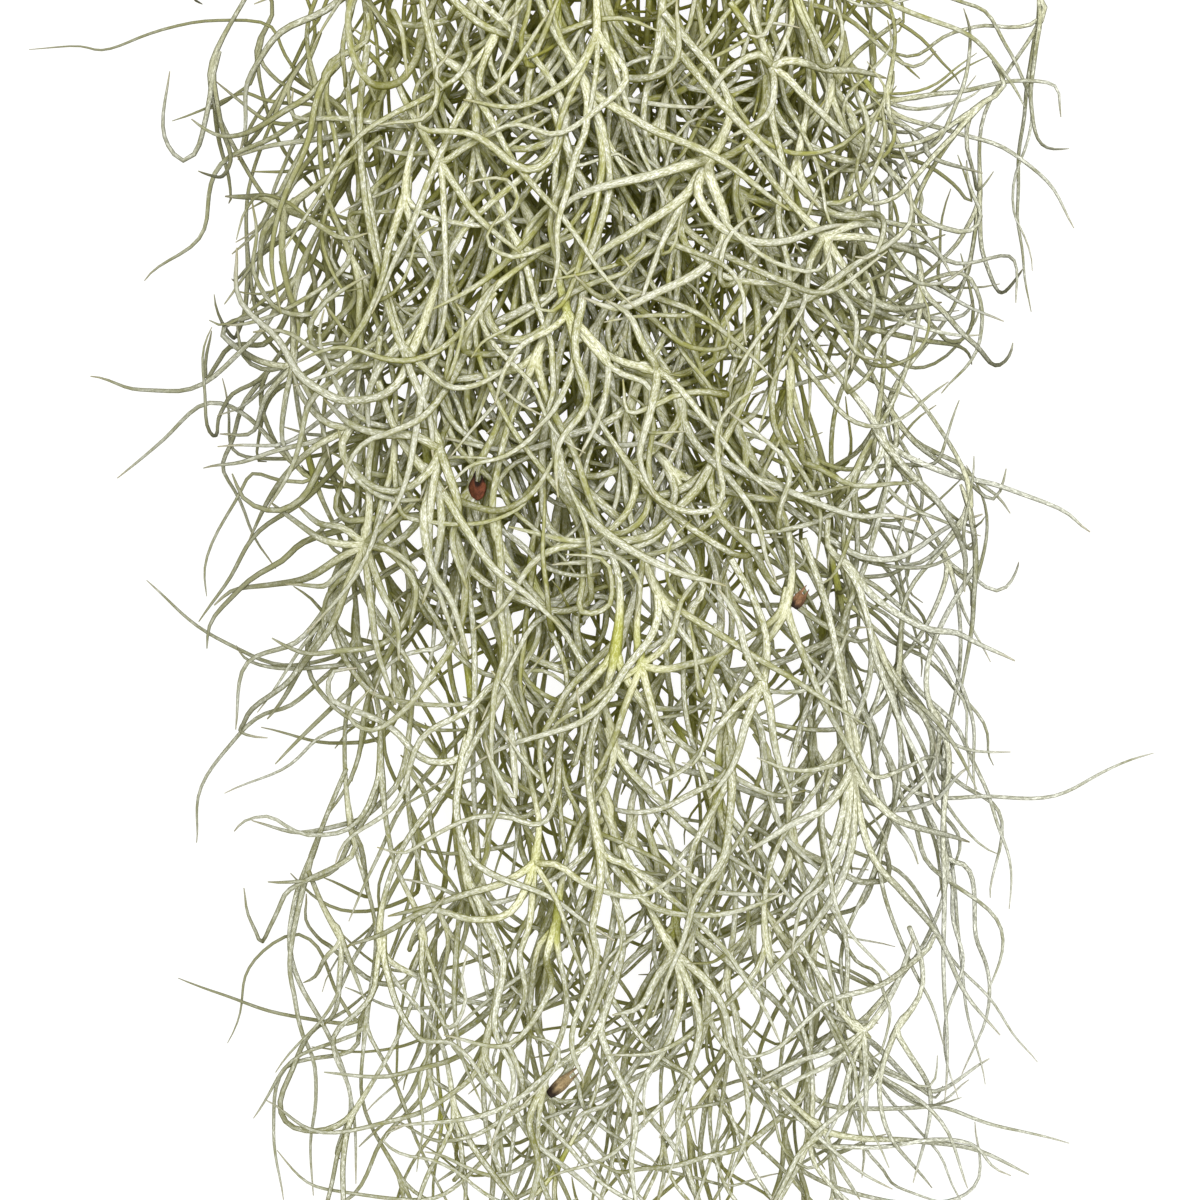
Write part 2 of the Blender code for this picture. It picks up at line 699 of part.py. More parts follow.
def seat_bract(segments, wide, x, y, length, radius, sheaths):
    """Base and axis of a bract 0.3 mm from a growth point that lies high near x, y."""
    start, end = segments
    best = None
    ranked = sorted(sheaths, key=lambda p: math.hypot(p[0] - x, p[1] - y) - 0.5 * p[2])
    for host in ranked[:6]:
        for turn in range(16):
            for rise in (0.15, 0.5, 0.85):
                angle = 2.0 * math.pi * turn / 16
                flat = math.sqrt(1.0 - rise * rise)
                out = np.array((math.cos(angle) * flat, math.sin(angle) * flat, rise))
                for lean in (-0.8, 0.0, 0.8):
                    axis = unit(out * 0.9 + np.array((0.0, -1.0, 0.0)) * lean)
                    base = host + out * (SHEATH_RADIUS + GAP + radius * 0.75)
                    a = np.repeat(base[None], len(start), 0)
                    b = np.repeat((base + axis * length)[None], len(start), 0)
                    away = nearest(a, b, start, end)[2]
                    room = np.linalg.norm(away, axis=1) - wide - radius
                    if best is None or float(room.min()) > best[0] + 0.02:
                        best = (float(room.min()), base, axis, out)
        if best[0] > 0.15:
            break
    return best[1:]


def room_round(body, bodies, trees):
    """Least distance from one body to the rest."""
    points = [corner.co for corner in body.verts]
    points += [face.calc_center_median() for face in body.faces]
    points += [(edge.verts[0].co + edge.verts[1].co) / 2 for edge in body.edges]
    least = min(tree.find_nearest(point)[3] for tree in trees for point in points)
    own = BVHTree.FromBMesh(body)
    for other in bodies:
        for corner in other.verts:
            reach = own.find_nearest(corner.co, least)[3]
            least = least if reach is None else min(least, reach)
    return least


def press_home(body, bodies, trees, out):
    """Slides a bract in against the bunch until it lies at the usual gap."""
    for _ in range(8):
        step = -0.8 * (room_round(body, bodies, trees) - GAP)
        bmesh.ops.translate(body, verts=body.verts, vec=out * step)


def new_material(name, colour, roughness):
    material = bpy.data.materials.new(name)
    material.use_nodes = True
    shader = material.node_tree.nodes["Principled BSDF"]
    shader.inputs["Base Color"].default_value = (*colour, 1.0)
    shader.inputs["Roughness"].default_value = roughness
    shader.inputs["Metallic"].default_value = 0.0
    material.diffuse_color = (*colour, 1.0)
    return material


def main():
    for thing in list(bpy.data.objects):
        bpy.data.objects.remove(thing)
    collection = bpy.data.collections.new(BUNCH)
    bpy.context.scene.collection.children.link(collection)

    bunch = compose(np.random.default_rng(SEED))
    place, start, end, wide = settle(bunch)

    bodies = []
    for _ in range(CLEARING_ROUNDS):
        bodies = [grow_strand(bunch, stem) for stem in bunch.stems]
        found = crossings(bodies)
        if not found:
            break
        clear(bunch, found)
    sheaths = [p for p, role in zip(place, bunch.role) if role == SHEATH]
    trees = [BVHTree.FromBMesh(body) for body in bodies]
    bracts = []
    for name, x, y, length, radius in DRY_BRACTS:
        base, axis, out = seat_bract(
            (place[start], place[end]), wide, x, y, length, radius, sheaths
        )
        body = grow_bract(base, axis, length, radius)
        press_home(body, bodies, trees, out)
        bracts.append((name, body))

    corners = np.array([corner.co[:] for body in bodies for corner in body.verts])
    low, high = corners.min(axis=0), corners.max(axis=0)
    shift = (-(low[0] + high[0]) / 2, -(low[1] + high[1]) / 2, 0.0)

    tones = (
        new_material("moss_silver", SILVER_GREEN, 0.8),
        new_material("moss_green", SOFT_GREEN, 0.78),
        new_material("moss_olive", DEEP_OLIVE, 0.82),
    )
    brown = new_material("dry_brown", DRY_BROWN, 0.85)
    heights = np.argsort([-np.mean([bunch.place[i][2] for i in stem]) for stem in bunch.stems])
    order = {int(strand): rank for rank, strand in enumerate(heights)}
    for index, body in enumerate(bodies):
        tone = tones[min(order[index] * 3 // len(bodies), 2)]
        finish(body, f"strand_{index + 1:02d}", shift, tone, collection)
    for name, body in bracts:
        finish(body, name, shift, brown, collection)


main()
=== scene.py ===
"""A bunch of Spanish moss laid down on a pale floor, dressed over its packed strands.

Every packed strand is replaced by a finer one on the same centre lines: round stems with swollen
sheaths, and thread-like leaves that taper to a point. A tangle of further strands fills the room
between them. Lengths are in millimetres until a piece is finished, and in metres after that.
"""

import itertools
import json
import logging
import math
from dataclasses import dataclass, field
from enum import Enum

import bpy
import numpy as np
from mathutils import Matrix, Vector

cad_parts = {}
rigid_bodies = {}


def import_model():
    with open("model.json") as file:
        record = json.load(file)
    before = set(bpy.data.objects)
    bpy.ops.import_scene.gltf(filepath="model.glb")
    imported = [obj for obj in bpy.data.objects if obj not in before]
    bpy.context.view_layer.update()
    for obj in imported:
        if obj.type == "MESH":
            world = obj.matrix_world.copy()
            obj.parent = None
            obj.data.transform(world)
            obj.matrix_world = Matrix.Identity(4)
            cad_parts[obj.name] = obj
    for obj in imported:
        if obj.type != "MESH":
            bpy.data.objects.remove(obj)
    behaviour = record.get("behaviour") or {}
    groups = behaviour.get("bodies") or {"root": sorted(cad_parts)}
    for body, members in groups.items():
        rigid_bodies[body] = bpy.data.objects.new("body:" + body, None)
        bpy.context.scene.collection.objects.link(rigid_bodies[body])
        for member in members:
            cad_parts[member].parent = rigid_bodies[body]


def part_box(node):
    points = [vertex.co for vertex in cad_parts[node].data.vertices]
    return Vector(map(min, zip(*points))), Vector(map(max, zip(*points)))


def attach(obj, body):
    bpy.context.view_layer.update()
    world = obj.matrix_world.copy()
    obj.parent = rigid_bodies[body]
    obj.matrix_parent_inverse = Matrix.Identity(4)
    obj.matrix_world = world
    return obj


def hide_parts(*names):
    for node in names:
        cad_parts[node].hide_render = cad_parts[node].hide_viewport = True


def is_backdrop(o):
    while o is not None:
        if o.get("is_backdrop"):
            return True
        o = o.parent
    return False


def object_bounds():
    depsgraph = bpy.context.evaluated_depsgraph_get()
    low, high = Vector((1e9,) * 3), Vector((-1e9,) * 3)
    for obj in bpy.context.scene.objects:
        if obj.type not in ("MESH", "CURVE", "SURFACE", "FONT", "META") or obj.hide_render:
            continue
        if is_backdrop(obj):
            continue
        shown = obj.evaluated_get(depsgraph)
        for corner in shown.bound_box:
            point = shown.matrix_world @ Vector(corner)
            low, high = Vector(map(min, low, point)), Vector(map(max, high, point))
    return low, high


MM = 0.001
UP = np.array((0.0, 0.0, 1.0))
TINY = 1e-6
GOLDEN = 0.618034
FULL_TURN = 2.0 * math.pi
LOG = logging.getLogger("moss")

Colour = tuple[float, float, float]
Span = tuple[float, float]


class Role(Enum):
    """What a point of a centre line is."""

    TOP = 0
    SHEATH = 1
    MIDDLE = 2
    RESTING = 3
    LEAF = 4


class Tone(Enum):
    """Material slot of a strand, from the front of the bunch to its depth."""

    # towards the depth each slot is a little darker and less silvery: painted shade of the bunch's
    # depth
    SILVER = "moss_silver"
    GREEN = "moss_green"
    OLIVE = "moss_olive"


def unit(vector: np.ndarray) -> np.ndarray:
    """Gives the vector at length one."""
    return vector / max(float(np.linalg.norm(vector)), 1e-9)


def across(direction: np.ndarray) -> tuple[np.ndarray, np.ndarray]:
    """Finds two unit vectors square to a direction, the first as near upright as it can be.

    Args:
        direction: A unit vector.

    Returns:
        The two vectors.
    """
    steep = abs(direction[2]) >= 0.9
    reference = np.array((1.0, 0.0, 0.0)) if steep else UP
    first = unit(reference - direction * float(reference @ direction))
    return first, np.cross(direction, first)


def lengths_along(points: np.ndarray) -> np.ndarray:
    """Gives the length run from the first point to each one."""
    steps = np.linalg.norm(np.diff(points, axis=0), axis=1)
    return np.concatenate(([0.0], np.cumsum(steps)))


def spline(guides: list[np.ndarray], parts: int) -> np.ndarray:
    """Draws a smooth line through all guide places but the first and the last.

    Args:
        guides: The places that guide it.
        parts: How many places it has for each stretch between two guides.

    Returns:
        The places along it.
    """
    fine = []
    for a, b, c, d in zip(guides, guides[1:], guides[2:], guides[3:]):
        for t in np.linspace(0.0, 1.0, parts, endpoint=False):
            bend = (2 * a - 5 * b + 4 * c - d) * t * t + (3 * b - a - 3 * c + d) * t**3
            fine.append(0.5 * (2 * b + (c - a) * t + bend))
    return np.array([*fine, guides[-2]])


def places_at(line: np.ndarray, marks: np.ndarray | list[float]) -> np.ndarray:
    """Gives the places on a line at given lengths from its start."""
    run = lengths_along(line)
    return np.stack([np.interp(marks, run, line[:, axis]) for axis in range(3)], 1)


def write_mark(mesh: bpy.types.Mesh, name: str, values: np.ndarray | list[float]) -> None:
    """Stores a number at each corner of a mesh, for a material or a node to read."""
    layer = mesh.attributes.new(name, "FLOAT", "POINT")
    layer.data.foreach_set("value", np.ascontiguousarray(values, np.float32))


def read_mark(mesh: bpy.types.Mesh, name: str) -> np.ndarray:
    """Reads the number stored at each corner of a mesh.

    Args:
        mesh: The mesh.
        name: The number's name.

    Returns:
        The numbers, in the order of the corners.
    """
    values = np.empty(len(mesh.vertices), np.float32)
    mesh.attributes[name].data.foreach_get("value", values)
    return values


def show(name: str, data: bpy.types.ID) -> bpy.types.Object:
    """Makes an object of a mesh, a lamp or a camera, and links it to the scene.

    Args:
        name: The object's name.
        data: What it shows.

    Returns:
        The object.
    """
    thing = bpy.data.objects.new(name, data)
    bpy.context.scene.collection.objects.link(thing)
    return thing


# ---------------- centre lines of the strands


@dataclass(frozen=True)
class Lane:
    """Where one strand runs: shares of the bunch's half width and thickness, and its two ends."""

    side: float
    height: float
    top: float
    tip: float


@dataclass(frozen=True)
class Envelope:
    """Room of the stems along the bunch, as rows of y, middle x, half width and thickness."""

    rows: tuple[tuple[float, float, float, float], ...] = (
        (-188.0, 2.0, 12.0, 12.0),
        (-150.0, 3.0, 30.0, 22.0),
        (-100.0, 5.0, 47.0, 32.0),
        (-40.0, 5.0, 51.0, 40.0),
        (30.0, 0.0, 55.0, 46.0),
        (100.0, -5.0, 51.0, 48.0),
        (146.0, -5.0, 28.0, 36.0),
    )

    def at(self, y: float | np.ndarray) -> list[float | np.ndarray]:
        """Reads the rows between their places.

        Args:
            y: One place along the bunch, or several.

        Returns:
            Middle x, half width and thickness there.
        """
        rows = np.array(self.rows)
        return [np.interp(y, rows[:, 0], rows[:, column]) for column in (1, 2, 3)]


@dataclass
class Skeleton:
    """Centre lines of a set of strands: a tree of points each, every point with its parent."""

    place: list[np.ndarray] = field(default_factory=list)
    radius: list[float] = field(default_factory=list)
    parent: list[int] = field(default_factory=list)
    owner: list[int] = field(default_factory=list)
    role: list[Role] = field(default_factory=list)
    stems: list[list[int]] = field(default_factory=list)
    leaves: dict[int, list[list[int]]] = field(default_factory=dict)
    strays: set[int] = field(default_factory=set)
    leaf_base: float = 0.80
    leaf_end: float = 0.50

    def heights(self) -> list[float]:
        """Gives the mean height of each stem."""
        return [float(np.mean([self.place[point][2] for point in stem])) for stem in self.stems]

    def add(self, place: np.ndarray, radius: float, parent: int, owner: int, role: Role) -> int:
        """Adds one point.

        Args:
            place: Where it is.
            radius: Half thickness of the strand there.
            parent: The point before it, or -1.
            owner: Number of its strand.
            role: What it is.

        Returns:
            The point's number.
        """
        self.place.append(np.array(place, float))
        self.radius.append(radius)
        self.parent.append(parent)
        self.owner.append(owner)
        self.role.append(role)
        return len(self.place) - 1

    def add_leaf(self, root: int, owner: int, places: list[np.ndarray]) -> list[int]:
        """Adds a leaf that sets off from a growth point.

        Args:
            root: The growth point.
            owner: Number of its strand.
            places: Places along the leaf, the last one its tip.

        Returns:
            The new points' numbers.
        """
        parent = root
        line = []
        for step, place in enumerate(places):
            share = step / (len(places) - 1)
            radius = self.leaf_base + (self.leaf_end - self.leaf_base) * share**2
            if step == len(places) - 1:
                radius = self.leaf_end * 0.5
            parent = self.add(place, radius, parent, owner, Role.LEAF)
            line.append(parent)
        self.leaves.setdefault(root, []).append(line)
        return line


@dataclass(frozen=True)
class Growth:
    """How a strand of Spanish moss grows: the spacing of its joints and the form of its leaves."""

    envelope: Envelope = Envelope()
    internode: Span = (27.0, 35.0)
    first_internode: Span = (9.0, 18.0)
    stem_bow: Span = (1.5, 5.0)
    wave_length: Span = (70.0, 130.0)
    wave_width: float = 0.13
    stem_radius: float = 0.88
    rest_length: float = 11.0
    rest_radius: float = 1.0
    first_chord: float = 5.2
    leaf_length: Span = (30.0, 48.0)
    leaf_opening: Span = (30.0, 44.0)
    leaf_curl: Span = (32.0, 165.0)
    leaf_droop: float = 0.45
    leaf_twist: Span = (-1.5, 1.5)
    leaves_at_point: tuple[int, ...] = (2, 2, 3)
    snaking: Span = (0.0, 0.0)
    curl_lean: float = 1.4
    lowest: float = 1.3
    low_lane: float = 0.1
    heave: Span = (0.02, 0.10)
    long_leaf: float = 43.0
    snake_chords: int = 8
    snake_turn: float = 7.0
    flatness: float = 0.7
    side_jitter: float = 0.2
    lead: float = 8.0
    most_leaves: int = 3

    def stem(
        self, rng: np.random.Generator, lane: Lane, spots: list[float]
    ) -> tuple[list[np.ndarray], list[Role]]:
        """Grows one stem from its picked end to its tip.

        Args:
            rng: Source of the growth's chances.
            lane: Where the strand runs.
            spots: Places along it where it lies flat on the floor.

        Returns:
            The places of its points, and what each one is.
        """
        waves = rng.uniform(*self.wave_length, 4)
        phases = rng.uniform(0.0, FULL_TURN, 4)
        low = lane.height < self.low_lane
        wave_width = self.wave_width * (0.5 if low else 1.0)
        heave = self.heave[0] if low else self.heave[1]

        def at(y: float) -> np.ndarray:
            """Gives the stem's place at one level.

            Args:
                y: The level along the bunch.

            Returns:
                The place.
            """
            middle, half, thick = self.envelope.at(y)
            sway = math.sin(FULL_TURN * y / waves[0] + phases[0])
            sway += 0.5 * math.sin(2.0 * FULL_TURN * y / waves[1] + phases[1])
            rise = math.sin(FULL_TURN * y / waves[2] + phases[2])
            x = middle + half * (lane.side + wave_width * sway)
            z = self.lowest + thick * max(lane.height + heave * rise, 0.0)
            return np.array((x, y, z))

        levels = [lane.top, lane.top - float(rng.uniform(*self.first_internode))]
        while levels[-1] - self.internode[1] > lane.tip:
            levels.append(levels[-1] - float(rng.uniform(*self.internode)))
        resting = set()
        for spot in spots:
            gaps = [abs((a + b) / 2 - spot) for a, b in itertools.pairwise(levels)]
            resting.add(gaps.index(min(gaps)))
        places = [at(lane.top)]
        roles = [Role.TOP]
        bend = 1.0 if rng.random() < 0.5 else -1.0
        for index, (y, below) in enumerate(itertools.pairwise(levels)):
            start, end = at(y), at(below)
            bow = bend * float(rng.uniform(*self.stem_bow))
            bend = -bend
            if index in resting:
                for offset in (-self.rest_length / 2, self.rest_length / 2):
                    point = start + (end - start) * (0.5 + offset / (y - below))
                    point[2] = self.rest_radius / 2
                    places.append(point)
                    roles.append(Role.RESTING)
            else:
                point = (start + end) / 2
                point[0] += bow
                point[2] += 0.5 * abs(bow) * (0 if low else float(rng.uniform(-1.0, 1.0)))
                places.append(point)
                roles.append(Role.MIDDLE)
            places.append(end)
            roles.append(Role.SHEATH)
        return places, roles

    def leaf(
        self, rng: np.random.Generator, root: np.ndarray, along: np.ndarray, azimuth: float
    ) -> list[np.ndarray]:
        """Grows one leaf that leaves the stem at a narrow angle and curls steadily away.

        Args:
            rng: Source of the growth's chances.
            root: Its growth point.
            along: Direction of the stem there.
            azimuth: Side of the stem that it sets off from.

        Returns:
            Places along it.
        """
        length = float(rng.uniform(*self.leaf_length))
        opening = math.radians(float(rng.uniform(*self.leaf_opening)))
        reach = self.leaf_curl[1] - self.leaf_curl[0]
        curl = math.radians(self.leaf_curl[0] + reach * float(rng.random()) ** self.curl_lean)
        twist = float(rng.uniform(*self.leaf_twist))
        first, second = across(along)
        chords = 5 if length > self.long_leaf else 4
        snake, phase = 0.0, 0.0
        if self.snaking[1] > 0.0:
            chords = self.snake_chords
            snake = math.radians(float(rng.uniform(*self.snaking)))
            phase = float(rng.uniform(0.0, FULL_TURN))
        steps = [self.first_chord] + [(length - self.first_chord) / (chords - 1)] * (chords - 1)
        point = np.array(root)
        travelled = 0.0
        places = []
        for step in steps:
            share = (travelled + step / 2) / length
            angle = opening + (curl - opening) * share
            angle += snake * share * math.sin(phase + self.snake_turn * share)
            turn = azimuth + twist * share
            aside = first * math.cos(turn) + second * math.sin(turn)
            direction = along * math.cos(angle) + aside * math.sin(angle)
            direction[1] -= self.leaf_droop * share
            direction[2] *= self.flatness
            point = point + unit(direction) * step
            travelled += step
            places.append(point)
        return places

    def through(
        self, points: list[np.ndarray], root: np.ndarray, along: np.ndarray, chords: int
    ) -> list[np.ndarray]:
        """Lays a leaf through given places.

        Args:
            points: The places.
            root: Its growth point.
            along: Direction in which it sets off.
            chords: How many places to give.

        Returns:
            Even places along a smooth line from the root to the last point.
        """
        guides = [root - along * self.lead, root, *points, 2 * points[-1] - points[-2]]
        line = spline(guides, 12)
        length = lengths_along(line)[-1]
        first = min(self.first_chord, length / 3)
        marks = [first + (length - first) * k / (chords - 1) for k in range(chords)]
        return list(places_at(line, marks))

    def grow_stems(
        self,
        rng: np.random.Generator,
        lanes: list[Lane],
        rest_spots: tuple[tuple[int, float], ...] = (),
    ) -> Skeleton:
        """Grows the bare stems of a set of strands.

        Args:
            rng: Source of the growth's chances.
            lanes: Where each strand runs.
            rest_spots: Number of a strand, and the place where it lies flat.

        Returns:
            The stems' centre lines.
        """
        bunch = Skeleton()
        for owner, lane in enumerate(lanes):
            spots = [y for strand, y in rest_spots if strand == owner]
            stem: list[int] = []
            for place, role in zip(*self.stem(rng, lane, spots)):
                radius = self.rest_radius if role is Role.RESTING else self.stem_radius
                parent = stem[-1] if stem else -1
                stem.append(bunch.add(place, radius, parent, owner, role))
            bunch.stems.append(stem)
        return bunch

    def grow_leaves(
        self, rng: np.random.Generator, bunch: Skeleton, claimed: dict[int, int]
    ) -> None:
        """Grows two or three leaves from every growth point.

        Args:
            rng: Source of the growth's chances.
            bunch: The stems, which get the leaves.
            claimed: How many leaves a growth point holds already.
        """
        turn = FULL_TURN / self.most_leaves
        for owner, stem in enumerate(bunch.stems):
            for index, point in enumerate(stem):
                if bunch.role[point] is not Role.SHEATH:
                    continue
                last = point == stem[-1]
                ahead = bunch.place[point if last else stem[index + 1]]
                along = unit(ahead - bunch.place[stem[index - 1]])
                wanted = int(rng.choice(self.leaves_at_point)) + (1 if last else 0)
                wanted = min(wanted, self.most_leaves) - claimed.get(point, 0)
                azimuth = float(rng.uniform(0.0, FULL_TURN))
                for leaf in range(max(wanted, 0)):
                    jitter = float(rng.uniform(-self.side_jitter, self.side_jitter))
                    side = azimuth + leaf * turn + jitter
                    places = self.leaf(rng, bunch.place[point], along, side)
                    bunch.add_leaf(point, owner, places)


@dataclass(frozen=True)
class StrayLeaves:
    """Leaves that stand clear of the bunch, as way points x, y from the root side to the tip."""

    ways: tuple[tuple[Span, ...], ...] = (
        ((-65.0, 101.0), (-80.0, 95.0), (-99.0, 94.0)),
        ((-60.0, 86.0), (-66.0, 84.0), (-73.0, 83.0)),
        ((-64.0, 73.0), (-68.0, 62.0), (-77.0, 54.0)),
        ((-66.0, 37.0), (-76.0, 36.0), (-88.0, 37.5)),
        ((-64.0, 34.0), (-74.0, 28.0), (-82.0, 21.5)),
        ((-60.0, 22.0), (-65.0, 12.0), (-67.0, 2.0)),
        ((-50.0, -12.0), (-64.0, -8.0), (-78.0, 3.0)),
        ((-55.0, -18.0), (-67.0, -27.0), (-70.0, -42.0)),
        ((-45.0, -22.0), (-55.0, -28.0), (-64.0, -33.0)),
        ((-44.0, -68.0), (-60.0, -70.0), (-73.0, -65.0)),
        ((-54.0, -56.0), (-61.0, -66.0), (-65.0, -77.0)),
        ((-50.0, -77.0), (-56.0, -84.0), (-60.0, -89.0)),
        ((57.0, 85.0), (66.0, 87.0), (80.0, 86.0), (80.0, 82.0)),
        ((67.0, 79.0), (75.0, 75.0), (81.5, 64.5)),
        ((70.0, 98.0), (72.0, 78.0), (73.0, 56.0)),
        ((60.0, 58.0), (65.0, 50.0), (64.0, 38.0), (59.0, 35.0)),
        ((62.0, 20.0), (72.0, 18.0), (82.0, 12.0)),
        ((58.0, 10.0), (62.0, 0.0), (67.0, -10.0)),
        ((57.0, -22.0), (66.0, -32.0), (67.0, -46.0), (68.5, -54.0)),
        ((60.0, -34.0), (75.0, -33.0), (94.5, -26.5)),
        ((58.0, -42.0), (60.0, -62.0), (59.0, -86.0)),
        ((52.0, -48.0), (60.0, -60.0), (75.0, -79.5)),
        ((44.0, -87.0), (58.0, -86.5), (79.0, -93.0)),
        ((40.0, -89.0), (58.0, -92.0), (71.0, -97.0)),
    )
    most_at_point: int = 2
    sag: float = 0.35
    end_height: float = 3.0
    long_reach: float = 26.0
    outward_cost: float = 6.0
    height_cost: float = 0.15

    def place(self, growth: Growth, bunch: Skeleton) -> dict[int, int]:
        """Roots each stray leaf at the nearest free growth point.

        Args:
            growth: How a leaf is laid.
            bunch: The stems, which get the leaves.

        Returns:
            How many stray leaves each growth point holds.
        """
        claimed: dict[int, int] = {}
        sheaths = [i for i, role in enumerate(bunch.role) if role is Role.SHEATH]
        for way in self.ways:
            start = np.array(way[0])
            free = [i for i in sheaths if claimed.get(i, 0) < self.most_at_point]
            root = min(free, key=lambda i: self.cost(bunch.place[i], start))
            claimed[root] = claimed.get(root, 0) + 1
            base = bunch.place[root]
            points = []
            for step, (x, y) in enumerate(way):
                share = (step + 1) / len(way)
                z = base[2] * (1 - self.sag * share) + self.end_height * share
                points.append(np.array((x, y, z)))
            if np.linalg.norm(points[0][:2] - base[:2]) < growth.first_chord + 3:
                points = points[1:]
            along = unit(base - bunch.place[bunch.parent[root]])
            reach = np.linalg.norm(points[-1] - base)
            places = growth.through(points, base, along, 5 if reach > self.long_reach else 4)
            bunch.strays.update(bunch.add_leaf(root, bunch.owner[root], places))
        return claimed

    def cost(self, place: np.ndarray, start: np.ndarray) -> float:
        """Says how poorly a growth point suits a stray leaf.

        Args:
            place: The growth point.
            start: Where the leaf starts, seen from above.

        Returns:
            A cost that rises with the distance, and where the point is further out than the start.
        """
        apart = place[:2] - start
        outward = max(0.0, math.copysign(1.0, start[0]) * apart[0])
        return float(np.hypot(*apart)) + self.outward_cost * outward + self.height_cost * place[2]


@dataclass
class Settling:
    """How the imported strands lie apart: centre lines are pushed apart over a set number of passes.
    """

    bunch: Skeleton
    envelope: Envelope = Envelope()
    gap: float = 0.5
    passes: int = 420
    pair_reach: float = 4.0
    root_radius: float = 1.15
    sheath_radius: float = 1.2
    root_spread: float = 3.6
    root_clear: float = 2.5
    headroom: float = 9.0
    sideroom: float = 13.0
    floor_clear: float = 0.2
    pairs_last: int = 12
    pairs_at_once: int = 400
    held_share: float = 0.7
    form_pull: float = 0.06
    home_pull: float = 0.03
    length_pull: float = 0.4
    stem_share: float = 0.1
    haste: float = 1.1
    root_pull: float = 0.4
    clear_pull: float = 0.6
    side_pull: float = 0.2

    def __post_init__(self) -> None:
        """Reads what holds the points together."""
        bunch = self.bunch
        self.home = np.array(bunch.place)
        self.place = self.home.copy()
        self.radius = np.array(bunch.radius)
        parent = np.array(bunch.parent)
        self.leafy, self.resting, sheath = (
            np.array([role is kind for role in bunch.role])
            for kind in (Role.LEAF, Role.RESTING, Role.SHEATH)
        )
        self.end = np.nonzero(parent >= 0)[0]
        self.start = parent[self.end]
        self.form = self.home[self.end] - self.home[self.start]
        self.length = np.linalg.norm(self.form, axis=1)
        firsts = [[leaf[0] for leaf in leaves] for leaves in bunch.leaves.values()]
        self.rooted = np.array([first for group in firsts for first in group])
        self.kin = np.array([pair for group in firsts for pair in itertools.combinations(group, 2)])
        self.wide = np.maximum(self.radius[self.start], self.radius[self.end])
        leaf = self.leafy[self.end]
        self.wide[leaf] = self.radius[self.end][leaf]
        self.wide[np.isin(self.end, self.rooted)] = self.root_radius
        self.base = parent[self.rooted]
        self.onward = np.array([self.next_along(point) for point in self.base])
        self.inner = self.leafy & ~np.isin(np.arange(len(parent)), list(bunch.strays))
        self.floor = np.where(self.resting, self.radius / 2, self.radius + self.floor_clear)
        self.floor[sheath] = self.sheath_radius + self.floor_clear

    def next_along(self, point: int) -> int:
        """Gives the stem point after a growth point, or the one before where it is the last.

        Args:
            point: The growth point.

        Returns:
            The number of that stem point.
        """
        stem = self.bunch.stems[self.bunch.owner[point]]
        index = stem.index(point)
        return stem[index + 1] if point != stem[-1] else stem[index - 1]

    def settle(self) -> None:
        """Moves the centre lines apart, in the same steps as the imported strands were."""
        pairs = np.empty((0, 2), int)
        for step in range(self.passes):
            if step % self.pairs_last == 0:
                pairs = self.close_pairs()
            if step < self.passes * self.held_share:
                self.hold()
            self.keep_lengths()
            self.push_apart(pairs)
            self.spread_roots()
            self.hem_in()
            self.place = np.round(self.place, 6)
        self.bunch.place = list(self.place)

    def hold(self) -> None:
        """Draws stems back to their places, and leaves back to their form."""
        pull = self.place[self.start] + self.form - self.place[self.end]
        self.place[self.end] += pull * (self.form_pull * self.leafy[self.end])[:, None]
        stems = ~self.leafy
        self.place[stems] += (self.home[stems] - self.place[stems]) * self.home_pull

    def keep_lengths(self) -> None:
        """Brings each segment back towards its own length."""
        chord = self.place[self.end] - self.place[self.start]
        length = np.linalg.norm(chord, axis=1)
        fix = chord * ((length - self.length) / length * self.length_pull)[:, None]
        first = self.leafy[self.end] & ~self.leafy[self.start]
        share = np.where(first, self.stem_share, 0.5)[:, None]
        np.add.at(self.place, self.start, fix * share)
        np.add.at(self.place, self.end, -fix * (1 - share))

    def close_pairs(self) -> np.ndarray:
        """Finds the pairs of segments that come near each other and share no point.

        Returns:
            Rows of two segment numbers.
        """
        place, start, end = self.place, self.start, self.end
        low = np.minimum(place[start], place[end]) - self.pair_reach / 2
        high = np.maximum(place[start], place[end]) + self.pair_reach / 2
        found = []
        for begin in range(0, len(start), self.pairs_at_once):
            rows = slice(begin, begin + self.pairs_at_once)
            near = np.ones((len(start[rows]), len(start)), bool)
            for axis in range(3):
                near &= low[rows, None, axis] < high[None, :, axis]
                near &= high[rows, None, axis] > low[None, :, axis]
            i, j = np.nonzero(near)
            i = i + begin
            keep = i < j
            found.append(np.stack((i[keep], j[keep]), 1))
        pairs = np.concatenate(found)
        i, j = pairs[:, 0], pairs[:, 1]
        apart = (start[i] != start[j]) & (start[i] != end[j])
        apart &= (end[i] != start[j]) & (end[i] != end[j])
        return pairs[apart]

